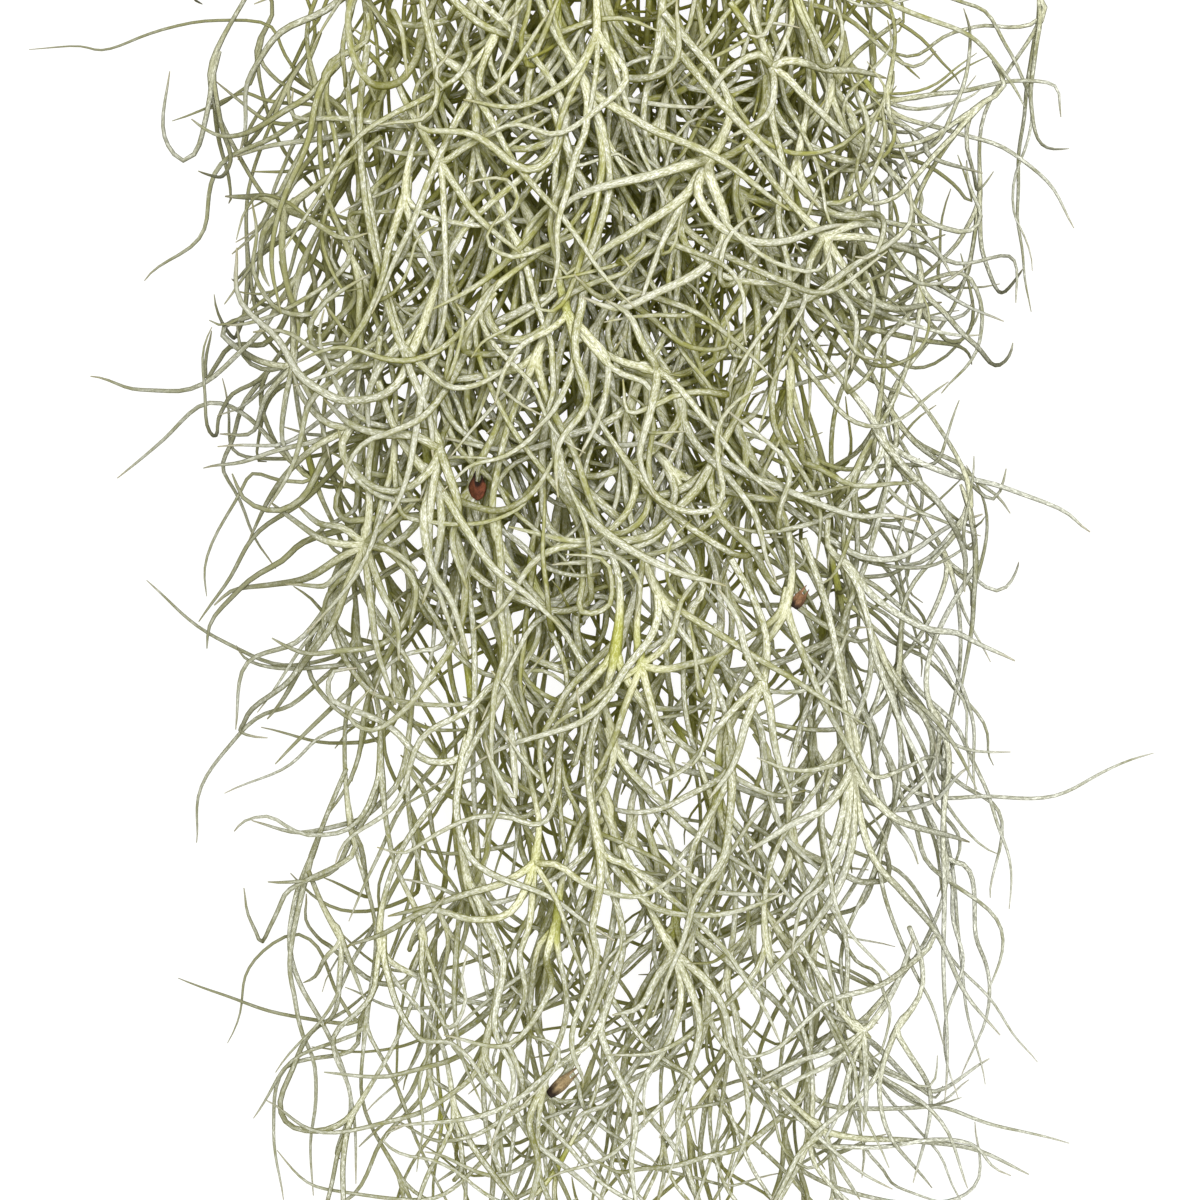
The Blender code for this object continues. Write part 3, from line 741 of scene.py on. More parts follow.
    def nearest(self, i: np.ndarray, j: np.ndarray) -> tuple[np.ndarray, np.ndarray, np.ndarray]:
        """Finds where pairs of segments come closest.

        Args:
            i: Numbers of the first segments.
            j: Numbers of the second segments.

        Returns:
            The share along each segment, and the vector between the two places.
        """
        a, c = self.place[self.start[i]], self.place[self.start[j]]
        ab, cd, ac = self.place[self.end[i]] - a, self.place[self.end[j]] - c, a - c
        aa = (ab * ab).sum(1)
        cc = (cd * cd).sum(1)
        both = (ab * cd).sum(1)
        first = (ab * ac).sum(1)
        second = (cd * ac).sum(1)
        slack = np.maximum(aa * cc - both * both, 1e-9)
        s = np.clip((both * second - first * cc) / slack, 0.0, 1.0)
        t = np.clip((both * s + second) / cc, 0.0, 1.0)
        s = np.clip((both * t - first) / aa, 0.0, 1.0)
        return s, t, (a + ab * s[:, None]) - (c + cd * t[:, None])

    def push_apart(self, pairs: np.ndarray) -> None:
        """Pushes segments apart that come too close.

        Args:
            pairs: Rows of two segment numbers.
        """
        i, j = pairs[:, 0], pairs[:, 1]
        s, t, away = self.nearest(i, j)
        apart = np.linalg.norm(away, axis=1)
        short = self.wide[i] + self.wide[j] + self.gap - apart
        hit = short > 0
        i, j, s, t = i[hit], j[hit], s[hit], t[hit]
        push = away[hit] / np.maximum(apart[hit], TINY)[:, None] * (0.5 * short[hit])[:, None]
        moved = np.zeros_like(self.place)
        count = np.zeros(len(self.place))
        for side, share, sign in ((i, s, 1.0), (j, t, -1.0)):
            scale = 1.0 / ((1 - share) ** 2 + share**2)
            for ends, weight in ((self.start[side], 1 - share), (self.end[side], share)):
                np.add.at(moved, ends, push * (sign * scale * weight)[:, None])
                np.add.at(count, ends, weight)
        self.place += moved / np.maximum(count, 1.0)[:, None] * self.haste

    def spread_roots(self) -> None:
        """Keeps the leaves of a growth point apart, and clear of its stem."""
        place, one, other = self.place, self.kin[:, 0], self.kin[:, 1]
        between = place[one] - place[other]
        apart = np.maximum(np.linalg.norm(between, axis=1), TINY)
        lack = np.maximum(self.root_spread - apart, 0.0)
        fix = between * (self.root_pull * lack / apart)[:, None]
        np.add.at(place, one, fix)
        np.add.at(place, other, -fix)
        line = place[self.onward] - place[self.base]
        line /= np.linalg.norm(line, axis=1)[:, None]
        out = place[self.rooted] - place[self.base]
        out -= line * (out * line).sum(1)[:, None]
        aside = np.maximum(np.linalg.norm(out, axis=1), TINY)
        clear = self.clear_pull * np.maximum(self.root_clear - aside, 0.0) / aside
        place[self.rooted] += out * clear[:, None]

    def hem_in(self) -> None:
        """Keeps the points between the bunch's sides, its top and the floor."""
        place = self.place
        middle, half, roof = self.envelope.at(place[:, 1])
        over = np.abs(place[:, 0] - middle) - half - self.sideroom
        over = np.where((over > 0) & self.inner, over, 0.0)
        place[:, 0] -= self.side_pull * over * np.sign(place[:, 0] - middle)
        place[:, 2] = np.minimum(place[:, 2], roof + self.headroom)
        place[:, 2] = np.maximum(place[:, 2], self.floor)
        place[self.resting, 2] = self.radius[self.resting] / 2


# ---------------- materials


class Shade:
    """A value on its way through a material, which takes part in plain sums."""

    def __init__(self, board: "Board", socket: bpy.types.NodeSocket) -> None:
        """Holds a socket of a material's board."""
        self.board = board
        self.socket = socket

    def _join(self, operation: str, *values: "Shade | float") -> "Shade":
        """Adds a Math node.

        Args:
            operation: The node's operation.
            values: Its inputs in order.

        Returns:
            The node's result.
        """
        inputs = dict(enumerate(values))
        node = self.board.add("ShaderNodeMath", {"operation": operation}, inputs)
        return Shade(self.board, node.outputs[0])

    def __add__(self, other: "Shade | float") -> "Shade":
        """Adds."""
        return self._join("ADD", self, other)

    def __radd__(self, other: float) -> "Shade":
        """Adds to a number."""
        return self._join("ADD", other, self)

    def __sub__(self, other: "Shade | float") -> "Shade":
        """Takes away."""
        return self._join("SUBTRACT", self, other)

    def __rsub__(self, other: float) -> "Shade":
        """Takes away from a number."""
        return self._join("SUBTRACT", other, self)

    def __mul__(self, other: "Shade | float") -> "Shade":
        """Multiplies."""
        return self._join("MULTIPLY", self, other)

    def __rmul__(self, other: float) -> "Shade":
        """Multiplies a number."""
        return self._join("MULTIPLY", other, self)

    def clip(self) -> "Shade":
        """Keeps the value between 0 and 1."""
        return self._join("MINIMUM", self._join("MAXIMUM", self, 0.0), 1.0)


class Board:
    """The nodes of one material."""

    def __init__(self, name: str) -> None:
        """Starts a material with its Principled shader."""
        self.material = bpy.data.materials.new(name)
        self.material.use_nodes = True
        self.tree = self.material.node_tree
        self.shader = self.tree.nodes["Principled BSDF"]

    def add(
        self,
        kind: str,
        settings: dict[str, object] | None = None,
        inputs: dict[int | str, object] | None = None,
    ) -> bpy.types.Node:
        """Adds one node.

        Args:
            kind: The node's type.
            settings: Its own settings, which are set first.
            inputs: Values or links of its sockets, by name or number.

        Returns:
            The node.
        """
        node = self.tree.nodes.new(kind)
        for key, value in (settings or {}).items():
            setattr(node, key, value)
        for key, value in (inputs or {}).items():
            if isinstance(value, Shade):
                self.tree.links.new(value.socket, node.inputs[key])
            else:
                node.inputs[key].default_value = value
        return node

    def spot(self) -> Shade:
        """Gives the place on the piece, in metres."""
        return Shade(self, self.add("ShaderNodeTexCoord").outputs["Object"])

    def part(self, spot: Shade, axis: str) -> Shade:
        """Gives one part of a place, in metres."""
        node = self.add("ShaderNodeSeparateXYZ", None, {0: spot})
        return Shade(self, node.outputs[axis])

    def mark(self, name: str, kind: str = "Fac") -> Shade:
        """Reads an attribute of the piece."""
        node = self.add("ShaderNodeAttribute", {"attribute_name": name})
        return Shade(self, node.outputs[kind])

    def noise(self, spot: Shade, scale: float, detail: float, roughness: float = 0.5) -> Shade:
        """Adds a cloudy pattern.

        Args:
            spot: Where it is read.
            scale: Its cells a metre.
            detail: How many finer layers it has.
            roughness: How strong they are.

        Returns:
            A value round 0.5.
        """
        inputs = {"Vector": spot, "Scale": scale, "Detail": detail, "Roughness": roughness}
        return Shade(self, self.add("ShaderNodeTexNoise", None, inputs).outputs["Fac"])

    def blend(self, share: Shade | float, first: Shade | Colour, second: Shade | Colour) -> Shade:
        """Mixes two colours.

        Args:
            share: How much of the second.
            first: The first colour.
            second: The second colour.

        Returns:
            The mixed colour.
        """
        parts: dict[int | str, object] = {0: share}
        for key, colour in ((6, first), (7, second)):
            parts[key] = colour if isinstance(colour, Shade) else (*colour, 1.0)
        node = self.add("ShaderNodeMix", {"data_type": "RGBA"}, parts)
        return Shade(self, node.outputs[2])

    def feed(self, **inputs: Shade | float) -> None:
        """Sets sockets of the shader, whose names are given with _ for a space."""
        for key, value in inputs.items():
            socket = self.shader.inputs[key.replace("_", " ")]
            if isinstance(value, Shade):
                self.tree.links.new(value.socket, socket)
            else:
                socket.default_value = value

    def relief(self, height: Shade, depth: float, strength: float) -> None:
        """Raises fine relief on the surface.

        Args:
            height: Its height, from 0 to 1.
            depth: Height of 1, in metres.
            strength: How strongly it shows.
        """
        inputs = {"Height": height, "Distance": depth, "Strength": strength}
        node = self.add("ShaderNodeBump", None, inputs)
        self.tree.links.new(node.outputs["Normal"], self.shader.inputs["Normal"])


@dataclass(frozen=True)
class MossSkin:
    """Skin of stems and leaves: green beneath a coat of fine silvery scales.

    Scales of patterns are in cells a metre. The face, the sides and the tips of the bunch are told
    apart by the place on it, in metres: x across it, y towards its picked end and z off the floor.
    Painted shade darkens the threads deep in the bunch, the bunch's left side and the sides of each
    thread that face away from the lamps; painted light makes the bunch's right side paler.
    """

    name: str
    green: Colour
    silver: Colour
    frost: float
    grey_green: Colour = (0.213, 0.217, 0.125)
    grey_silver: Colour = (0.41, 0.42, 0.395)
    scale_tip: Colour = (0.96, 0.97, 0.94)
    # painted shade: the dark olive that stands in for shade on the threads' sides and deep in the
    # bunch
    painted_shade: Colour = (0.225, 0.221, 0.012)
    pit: Colour = (0.24, 0.238, 0.055)
    # grey painted shade, also the grey of the pits between scales at the bunch's sides
    grey_painted_shade_and_pit: Colour = (0.17, 0.17, 0.13)
    young_sheath: Colour = (0.37, 0.385, 0.075)
    pale_sheath: Colour = (0.64, 0.64, 0.47)
    dry_tip: Colour = (0.30, 0.24, 0.12)
    drift_scale: float = 42.0
    patch_scale: float = 420.0
    fleck_scale: float = 4900.0
    furrow_scale: float = 1500.0
    fleck_depth: float = 0.00008
    fleck_relief: float = 0.6
    # the bunch's face, below which the threads get painted shade
    face_height: float = 0.027
    face_rise: float = 0.08
    face_fall: float = 4.5
    thread_spread: float = 0.9
    patch_spread: float = 1.1
    furrow_spread: float = 1.6
    # painted light: the coat gets paler towards the bunch's right side
    lit_side: float = 2.6
    fine_tips: float = 0.7
    # painted shade: the coat is less silver deep in the bunch
    depth_loss: float = 6.0
    sunk_loss: float = 0.7
    sunk_rise: float = 40.0
    rim_rise: float = 320.0
    # painted shade on the bunch's left side
    shade_rise: float = 18.0
    # painted shade on the sides of each thread that face away from the lamps
    flank_from: float = 0.68
    flank_rise: float = 1.9
    grey_to_tips: float = 7.5
    grey_to_sides: float = 220.0
    sheath_rise: float = 1.6
    # how strongly painted shade darkens the deep threads, the left side and the threads' sides
    sunk_dark: float = 0.42
    shaded_dark: float = 0.42
    flank_dark: float = 0.9
    sheath_cover: float = 0.92
    speck: float = 7.0
    speck_loss: float = 4.5
    speck_bare: float = 0.15
    speck_seen: float = 0.9
    # how many bright scale tips the painted side shade, the painted left-side shade and young
    # sheaths hide
    speck_hidden: tuple[float, float, float] = (0.7, 0.45, 0.6)
    pit_dark: float = 0.8
    withered_from: float = 0.9
    withered_rise: float = 8.0
    withering: float = 0.6
    roughness: Span = (0.92, 0.74)
    shine: float = 0.08

    def build(self) -> bpy.types.Material:
        """Makes the material.

        Returns:
            The material.
        """
        board = Board(self.name)
        spot = board.spot()
        x, y, z = (board.part(spot, axis) for axis in "XYZ")
        out = x * x
        # how far below the bunch's face a point lies, for the painted shade deep in the bunch
        depth = self.face_height + self.face_rise * y - self.face_fall * out - z
        sunk = (self.sunk_rise * depth).clip()
        # rim greys the painted shade and the pits towards the bunch's sides
        rim = (self.rim_rise * out - 0.2).clip()
        # painted shade on the bunch's left side
        shaded = (-self.shade_rise * x - 0.3).clip()
        # painted shade on the sides of each thread that face sideways or down, away from the lamps
        flank = ((self.flank_from - board.mark("up")) * self.flank_rise).clip()
        run = board.mark("run")
        swell = board.mark("sheath")
        tint = board.mark("tint")
        fade = (0.5 - self.grey_to_tips * y + self.grey_to_sides * out).clip()
        # the painted shade colour, greyer towards the bunch's sides
        painted_shade = board.blend(rim, self.painted_shade, self.grey_painted_shade_and_pit)
        # the coat also carries painted light and shade: paler to the right, less silver deep in the
        # bunch
        coat = self.coat(board, spot, tint) + self.lit_side * x
        coat = coat - self.fine_tips * y - self.depth_loss * depth - self.sunk_loss * sunk
        coat = (coat + self.furrow_spread * (self.grain(board, self.furrow_scale, 1.0) - 0.5)).clip()
        green = board.blend(fade, self.green, self.grey_green)
        silver = board.blend(fade, self.silver, self.grey_silver)
        skin = board.blend(coat, green, silver)
        husk = board.blend((2.0 * swell - 1.0).clip(), self.pale_sheath, self.young_sheath)
        skin = board.blend((self.sheath_rise * swell).clip() * self.sheath_cover, skin, husk)
        # painted shade on the threads deep in the bunch
        skin = board.blend(sunk * self.sunk_dark, skin, painted_shade)
        # painted shade on the bunch's left side
        skin = board.blend(shaded * self.shaded_dark, skin, self.grey_painted_shade_and_pit)
        # painted shade on the threads' sides
        skin = board.blend(flank * self.flank_dark, skin, painted_shade)
        fleck = self.grain(board, self.fleck_scale, 2.0, 0.7)
        speck = (fleck - 0.5) * (self.speck - self.speck_loss * run)
        tips = (speck * (self.speck_bare + (1.0 - self.speck_bare) * coat)).clip()
        # fewer scale tips show in the painted shade
        on_flank, in_shade, on_sheath = self.speck_hidden
        seen = (self.speck_seen - on_flank * flank - in_shade * shaded).clip()
        seen = seen * (1.0 - on_sheath * swell)
        skin = board.blend(tips * seen, skin, self.scale_tip)
        pit = board.blend(rim, self.pit, self.grey_painted_shade_and_pit)
        skin = board.blend((-1.0 * speck).clip() * self.pit_dark, skin, pit)
        withered = ((run - self.withered_from) * self.withered_rise * tint).clip()
        skin = board.blend(withered * self.withering, skin, self.dry_tip)
        rough, smooth = self.roughness
        roughness = rough - (rough - smooth) * tips
        board.feed(Base_Color=skin, Roughness=roughness, Specular_IOR_Level=self.shine)
        board.relief(fleck, self.fleck_depth, self.fleck_relief)
        return board.material

    def coat(self, board: Board, spot: Shade, tint: Shade) -> Shade:
        """Says how thick the coat is from thread to thread and from patch to patch.

        Args:
            board: The material's nodes.
            spot: The place on the piece.
            tint: The thread's own shade.

        Returns:
            Its thickness, about 0 to 1.
        """
        drift = board.noise(spot, self.drift_scale, 2.0)
        patch = board.noise(spot, self.patch_scale, 2.0, 0.6)
        own = self.frost + self.thread_spread * (tint - 0.5)
        return own + self.patch_spread * (drift - 0.5) + self.patch_spread * (patch - 0.5)

    @staticmethod
    def grain(board: Board, scale: float, detail: float, roughness: float = 0.5) -> Shade:
        """Gives a pattern that is drawn out along each thread."""
        return board.noise(board.mark("grain_at", "Vector"), scale, detail, roughness)


# the deeper slots are a little darker and less silvery: painted shade of the bunch's depth
SKINS = {
    Tone.SILVER: MossSkin("moss_silver", (0.283, 0.285, 0.092), (0.455, 0.46, 0.41), 0.66),
    Tone.GREEN: MossSkin("moss_green", (0.27, 0.271, 0.074), (0.445, 0.45, 0.392), 0.60),
    Tone.OLIVE: MossSkin("moss_olive", (0.257, 0.257, 0.05), (0.435, 0.44, 0.372), 0.56),
}


@dataclass(frozen=True)
class DryHusk:
    """Dry brown scale, streaked along its fibres."""

    name: str = "dry_brown"
    burnt: Colour = (0.016, 0.008, 0.006)
    dark: Colour = (0.075, 0.022, 0.011)
    light: Colour = (0.24, 0.075, 0.038)
    dark_tan: Colour = (0.11, 0.075, 0.04)
    light_tan: Colour = (0.33, 0.255, 0.15)
    blotch_scale: float = 600.0
    fibre_scale: float = 3500.0
    fibre_depth: float = 0.00012
    burnt_share: float = 0.34
    blotch_spread: float = 2.6
    fibre_spread: float = 1.4
    lightness: Span = (0.15, 0.75)
    scorch_rise: float = 5.0
    scorch_spread: float = 2.0

    def build(self) -> bpy.types.Material:
        """Makes the material.

        Returns:
            The material.
        """
        board = Board(self.name)
        spot = board.spot()
        blotch = board.noise(spot, self.blotch_scale, 3.0, 0.6)
        fibre = board.noise(spot, self.fibre_scale, 1.0)
        run = board.mark("run")
        base, tip = self.lightness
        share = (blotch - 0.5) * self.blotch_spread + (fibre - 0.5) * self.fibre_spread
        share = (share + base + (tip - base) * run).clip()
        red = board.blend(share, self.dark, self.light)
        tan = board.blend(share, self.dark_tan, self.light_tan)
        scale = board.blend(board.mark("tan"), red, tan)
        scorch = (self.burnt_share - run) * self.scorch_rise
        scorch = (scorch + (blotch - 0.5) * self.scorch_spread).clip()
        board.feed(
            Base_Color=board.blend(scorch, scale, self.burnt),
            Roughness=0.7 + 0.2 * fibre,
            Specular_IOR_Level=0.3,
        )
        board.relief(fibre, self.fibre_depth, 0.7)
        return board.material


@dataclass(frozen=True)
class PaleFloor:
    """Matt white floor that is lit a little from below."""

    name: str = "pale_floor"
    colour: Colour = (0.09, 0.09, 0.09)
    glow_colour: Colour = (1.0, 0.997, 0.985)
    glow: float = 0.97

    def build(self) -> bpy.types.Material:
        """Makes the material.

        Returns:
            The material.
        """
        board = Board(self.name)
        board.feed(
            Base_Color=(*self.colour, 1.0),
            Roughness=1.0,
            Specular_IOR_Level=0.0,
            Emission_Color=(*self.glow_colour, 1.0),
            Emission_Strength=self.glow,
        )
        return board.material


# ---------------- sweeping centre lines to form


@dataclass
class Thread:
    """One line to be swept: places and half thicknesses along it, and its marks for the skin."""

    places: np.ndarray
    thick: np.ndarray
    run: np.ndarray
    sheath: np.ndarray
    tint: float


class Sweep:
    """Geometry nodes that sweep threads to round closed forms."""

    def __init__(self) -> None:
        """Makes the node group."""
        self.tree = bpy.data.node_groups.new("moss_sweep", "GeometryNodeTree")
        face = self.tree.interface
        sockets = (
            ("Threads", "INPUT", "NodeSocketGeometry"),
            ("Sides", "INPUT", "NodeSocketInt"),
            ("Skin", "INPUT", "NodeSocketMaterial"),
            ("Moss", "OUTPUT", "NodeSocketGeometry"),
        )
        self.socket = {}
        for name, way, kind in sockets:
            self.socket[name] = face.new_socket(name, in_out=way, socket_type=kind)
        start = self.tree.nodes.new("NodeGroupInput")
        end = self.tree.nodes.new("NodeGroupOutput")
        lines = self.add("MeshToCurve", Mesh=start.outputs["Threads"])
        ring = self.add("CurvePrimitiveCircle", Resolution=start.outputs["Sides"], Radius=1.0)
        marked = self.add(
            "StoreNamedAttribute",
            Geometry=ring.outputs["Curve"],
            Name="round",
            Value=self.add("InputIndex").outputs["Index"],
        )
        form = self.add(
            "CurveToMesh",
            Curve=lines.outputs["Curve"],
            Profile_Curve=marked.outputs["Geometry"],
            Scale=self.add("InputNamedAttribute", Name="thick").outputs["Attribute"],
            Fill_Caps=True,
        )
        smooth = self.add("SetShadeSmooth", Geometry=form.outputs["Mesh"])
        real = self.add("RealizeInstances", Geometry=smooth.outputs["Geometry"])
        skin = {"Geometry": real.outputs["Geometry"], "Material": start.outputs["Skin"]}
        dressed = self.add("SetMaterial", **skin)
        self.tree.links.new(dressed.outputs["Geometry"], end.inputs["Moss"])

    def add(self, kind: str, **inputs: object) -> bpy.types.Node:
        """Adds one geometry node.

        Args:
            kind: The node's type.
            inputs: Values or links of its sockets, by name with _ for a space.

        Returns:
            The node.
        """
        node = self.tree.nodes.new("GeometryNode" + kind)
        for key, value in inputs.items():
            socket = node.inputs[key.replace("_", " ")]
            if isinstance(value, bpy.types.NodeSocket):
                self.tree.links.new(value, socket)
            else:
                socket.default_value = value
        return node

    def run(
        self, name: str, threads: list[Thread], sides: int, skin: bpy.types.Material
    ) -> bpy.types.Object:
        """Sweeps threads to one piece.

        Args:
            name: The piece's name.
            threads: What to sweep, in metres.
            sides: How many sides a thread has.
            skin: The piece's material.

        Returns:
            The piece, with a plain mesh.
        """
        guide = self.guide(name, threads)
        modifier = guide.modifiers.new("sweep", "NODES")
        modifier.node_group = self.tree
        modifier[self.socket["Sides"].identifier] = sides
        modifier[self.socket["Skin"].identifier] = skin
        shown = guide.evaluated_get(bpy.context.evaluated_depsgraph_get())
        mesh = bpy.data.meshes.new_from_object(shown)
        bpy.data.objects.remove(guide)
        mesh.name = name
        self.mark_skin(mesh, sides)
        self.lay_out(mesh, sides)
        return show(name, mesh)

    @staticmethod
    def guide(name: str, threads: list[Thread]) -> bpy.types.Object:
        """Makes a mesh of bare edges that carries the threads' marks.

        Args:
            name: The piece's name.
            threads: The threads.

        Returns:
            The object that holds it.
        """
        places = np.concatenate([thread.places for thread in threads])
        sizes = [len(thread.places) for thread in threads]
        starts = np.cumsum([0, *sizes[:-1]])
        edges = [(i, i + 1) for start, n in zip(starts, sizes) for i in range(start, start + n - 1)]
        mesh = bpy.data.meshes.new(name + "_lines")
        mesh.from_pydata(places.tolist(), edges, [])
        marks = {
            key: np.concatenate([getattr(thread, key) for thread in threads])
            for key in ("thick", "run", "sheath")
        }
        marks |= {
            "tint": np.repeat([thread.tint for thread in threads], sizes),
            "line": np.repeat(np.arange(len(threads), dtype=float), sizes),
            "row": np.concatenate([np.arange(n, dtype=float) for n in sizes]),
            "span": np.concatenate([lengths_along(thread.places) for thread in threads]),
        }
        for key, values in marks.items():
            write_mark(mesh, key, values)
        return show(name + "_guide", mesh)

    @staticmethod
    def mark_skin(
        mesh: bpy.types.Mesh, sides: int, stretch: float = 0.3, apart: float = 0.0137
    ) -> None:
        """Marks which way the skin faces, and the place in a thread that its grain runs along.

        Args:
            mesh: The piece's mesh.
            sides: How many sides a thread has.
            stretch: Length of the grain's place for a length of thread.
            apart: How far the grain of one thread lies from the next one's, in metres.
        """
        facing = np.empty(len(mesh.vertices) * 3, np.float32)
        mesh.vertex_normals.foreach_get("vector", facing)
        # up is read by the skins to paint shade on the threads' sides
        write_mark(mesh, "up", facing[2::3])
        thick, span = read_mark(mesh, "thick"), read_mark(mesh, "span")
        turn = FULL_TURN * np.rint(read_mark(mesh, "round")) / sides
        own = np.rint(read_mark(mesh, "line")) * apart
        flat = (np.cos(turn) * thick + own, np.sin(turn) * thick)
        place = np.column_stack((*flat, span * stretch + own))
        layer = mesh.attributes.new("grain_at", "FLOAT_VECTOR", "POINT")
        layer.data.foreach_set("vector", place.astype(np.float32).ravel())

    @staticmethod
    def lay_out(
        mesh: bpy.types.Mesh,
        sides: int,
        chunk: int = 22,
        slim: float = 11.0,
        margins: Span = (0.03, 0.1),
        cap_size: Span = (0.01, 0.3),
    ) -> None:
        """Lays the swept forms out as strips side by side in the piece's map.

        Args:
            mesh: The piece's mesh.
            sides: How many sides a thread has.
            chunk: Rows of faces that one strip holds.
            slim: Strips in a column of the map for each one in a row.
            margins: Share of a strip's room left free at its ends and along its sides.
            cap_size: Half size of a thread's end face, along its strip and across it.
        """
        corner = np.empty(len(mesh.loops), np.int32)
        mesh.loops.foreach_get("vertex_index", corner)
        total = np.empty(len(mesh.polygons), np.int32)
        mesh.polygons.foreach_get("loop_total", total)
        face = np.repeat(np.arange(len(total)), total)
        line, row, turn = (
            np.rint(read_mark(mesh, key)).astype(int)[corner] for key in ("line", "row", "round")
        )
        first = np.full(len(total), row.max())
        np.minimum.at(first, face, row)
        last_turn = np.zeros(len(total), int)
        np.maximum.at(last_turn, face, turn)
        cap = total[face] == sides
        wraps = (last_turn[face] == sides - 1) & (turn == 0) & ~cap
        around = np.where(wraps, sides, turn) / sides
        part = first[face] // chunk
        part = np.where(cap & (row > 0) & (row % chunk == 0), part - 1, part)
        along = (row - part * chunk) / chunk
        strips, strip = np.unique(line * (part.max() + 1) + part, return_inverse=True)
        columns = max(1, round(math.sqrt(len(strips) / slim)))
        rows = math.ceil(len(strips) / columns)
        angle = FULL_TURN * turn / sides
        swing = np.where(cap, 0.5 + cap_size[1] * np.sin(angle), around)
        along = np.where(cap, along + cap_size[0] * np.cos(angle), along)
        edge, side = margins
        u = (strip % columns + edge + (1 - 2 * edge) * np.clip(along, 0.0, 1.0)) / columns
        v = (strip // columns + side + (1 - 2 * side) * swing) / rows
        layer = mesh.uv_layers.new(name="OFBake")
        layer.data.foreach_set("uv", np.stack((u, v), 1).astype(np.float32).ravel())
        for key in ("thick", "line", "row", "round", "span"):
            mesh.attributes.remove(mesh.attributes[key])


@dataclass(frozen=True)
class StrandForm:
    """Fine form of a strand: how thick its stem, sheaths and leaves are along their length."""

    stem: float = 0.50
    sheath: float = 0.30
    sheath_before: float = 5.5
    sheath_after: float = 2.4
    leaf: float = 0.56
    stray_girth: float = 0.86
    waver: Span = (0.6, 2.2)
    waver_length: Span = (20.0, 42.0)
    leaf_step: float = 1.9
    stem_step: float = 2.3
    buried: float = 4.0
    young_share: float = 0.07
    old_mark: Span = (0.05, 0.5)
    shade: Span = (0.2, 0.8)
    shade_spread: float = 0.22
    leaf_girth: Span = (0.82, 1.15)
    stem_run: float = 0.3
    tip_girth: float = 0.4
    husk_cover: tuple[Span, ...] = ((-11.0, 0.0), (-5.0, 1.0), (2.0, 1.0), (5.0, 0.0))
    leaf_husk: Span = (0.06, 0.30)
    waver_free: float = 12.0
    taper: tuple[Span, ...] = (
        (0.0, 0.55), (0.07, 1.2), (0.2, 1.06), (0.55, 0.92), (0.8, 0.72), (0.94, 0.48), (1.0, 0.2),
    )

    @staticmethod
    def smooth(knots: list[np.ndarray], step: float) -> tuple[np.ndarray, np.ndarray]:
        """Draws a smooth line through knots.

        Args:
            knots: The places it passes through.
            step: Length between the places it gives.

        Returns:
            Even places along the line, and the length run to each one.
        """
        line = spline([2 * knots[0] - knots[1], *knots, 2 * knots[-1] - knots[-2]], 8)
        length = lengths_along(line)[-1]
        marks = np.linspace(0.0, length, max(4, round(length / step) + 1))
        return places_at(line, marks), marks

    def wavering(
        self, rng: np.random.Generator, places: np.ndarray, run: np.ndarray, held: float
    ) -> np.ndarray:
        """Gives a line the slow, uneven bends of a grown thread.

        Args:
            rng: Source of the bends.
            places: Places along the line.
            run: Length run to each one.
            held: Length at its start that keeps still.

        Returns:
            The bent line.
        """
        free = np.clip((run - held) / self.waver_free, 0.0, 1.0)
        size = float(rng.uniform(*self.waver))
        for share, finer in ((1.0, 1.0), (0.22, 0.5)):
            aside = unit(rng.normal(size=3) * np.array((1.0, 0.6, 0.8)))
            phase = float(rng.uniform(0.0, FULL_TURN))
            wave = FULL_TURN / (float(rng.uniform(*self.waver_length)) * finer)
            places = places + aside * (size * share * free * np.sin(run * wave + phase))[:, None]
        return places

    def stem_thread(
        self, bunch: Skeleton, stem: list[int], marks: dict[int, float], girth: float, tint: float
    ) -> Thread:
        """Draws one stem with its sheaths.

        Args:
            bunch: The centre lines.
            stem: Numbers of the stem's points.
            marks: How young each growth point's sheath looks.
            girth: How stout the strand is.
            tint: Its shade.

        Returns:
            The thread, in millimetres.
        """
        knots = [bunch.place[point] for point in stem]
        places, run = self.smooth(knots, self.stem_step)
        swell = np.zeros(len(run))
        husk = np.zeros(len(run))
        for point in stem:
            if bunch.role[point] is not Role.SHEATH:
                continue
            here = run[np.argmin(np.linalg.norm(places - bunch.place[point], axis=1))]
            apart = run - here
            width = np.where(apart < 0, self.sheath_before, self.sheath_after)
            swell = np.maximum(swell, np.exp(-((apart / width) ** 2)))
            cover = np.interp(apart, *zip(*self.husk_cover))
            husk = np.maximum(husk, cover * marks[point])
        thick = girth * (self.stem + self.sheath * swell)
        thick[-1] *= self.tip_girth
        return Thread(places, thick, np.full(len(run), self.stem_run), husk, tint)

    def leaf_thread(
        self, bunch: Skeleton, root: int, leaf: list[int], mark: float, girth: float, tint: float
    ) -> Thread:
        """Draws one leaf, whose base starts inside its stem.

        Args:
            bunch: The centre lines.
            root: Number of its growth point.
            leaf: Numbers of its own points.
            mark: How young its base looks.
            girth: How stout the strand is.
            tint: Its shade.

        Returns:
            The thread, in millimetres.
        """
        base = bunch.place[root]
        along = unit(base - bunch.place[bunch.parent[root]])
        places = [bunch.place[point] for point in leaf]
        out = places[0] - base
        out = unit(out - along * float(out @ along))
        knots = [base - along * self.buried, base + out * 0.5, *places]
        line, run = self.smooth(knots, self.leaf_step)
        share = run / run[-1]
        thick = girth * self.leaf * np.interp(share, *zip(*self.taper))
        husk = mark * np.interp(share, self.leaf_husk, (1.0, 0.0))
        return Thread(line, thick, share, husk, tint)

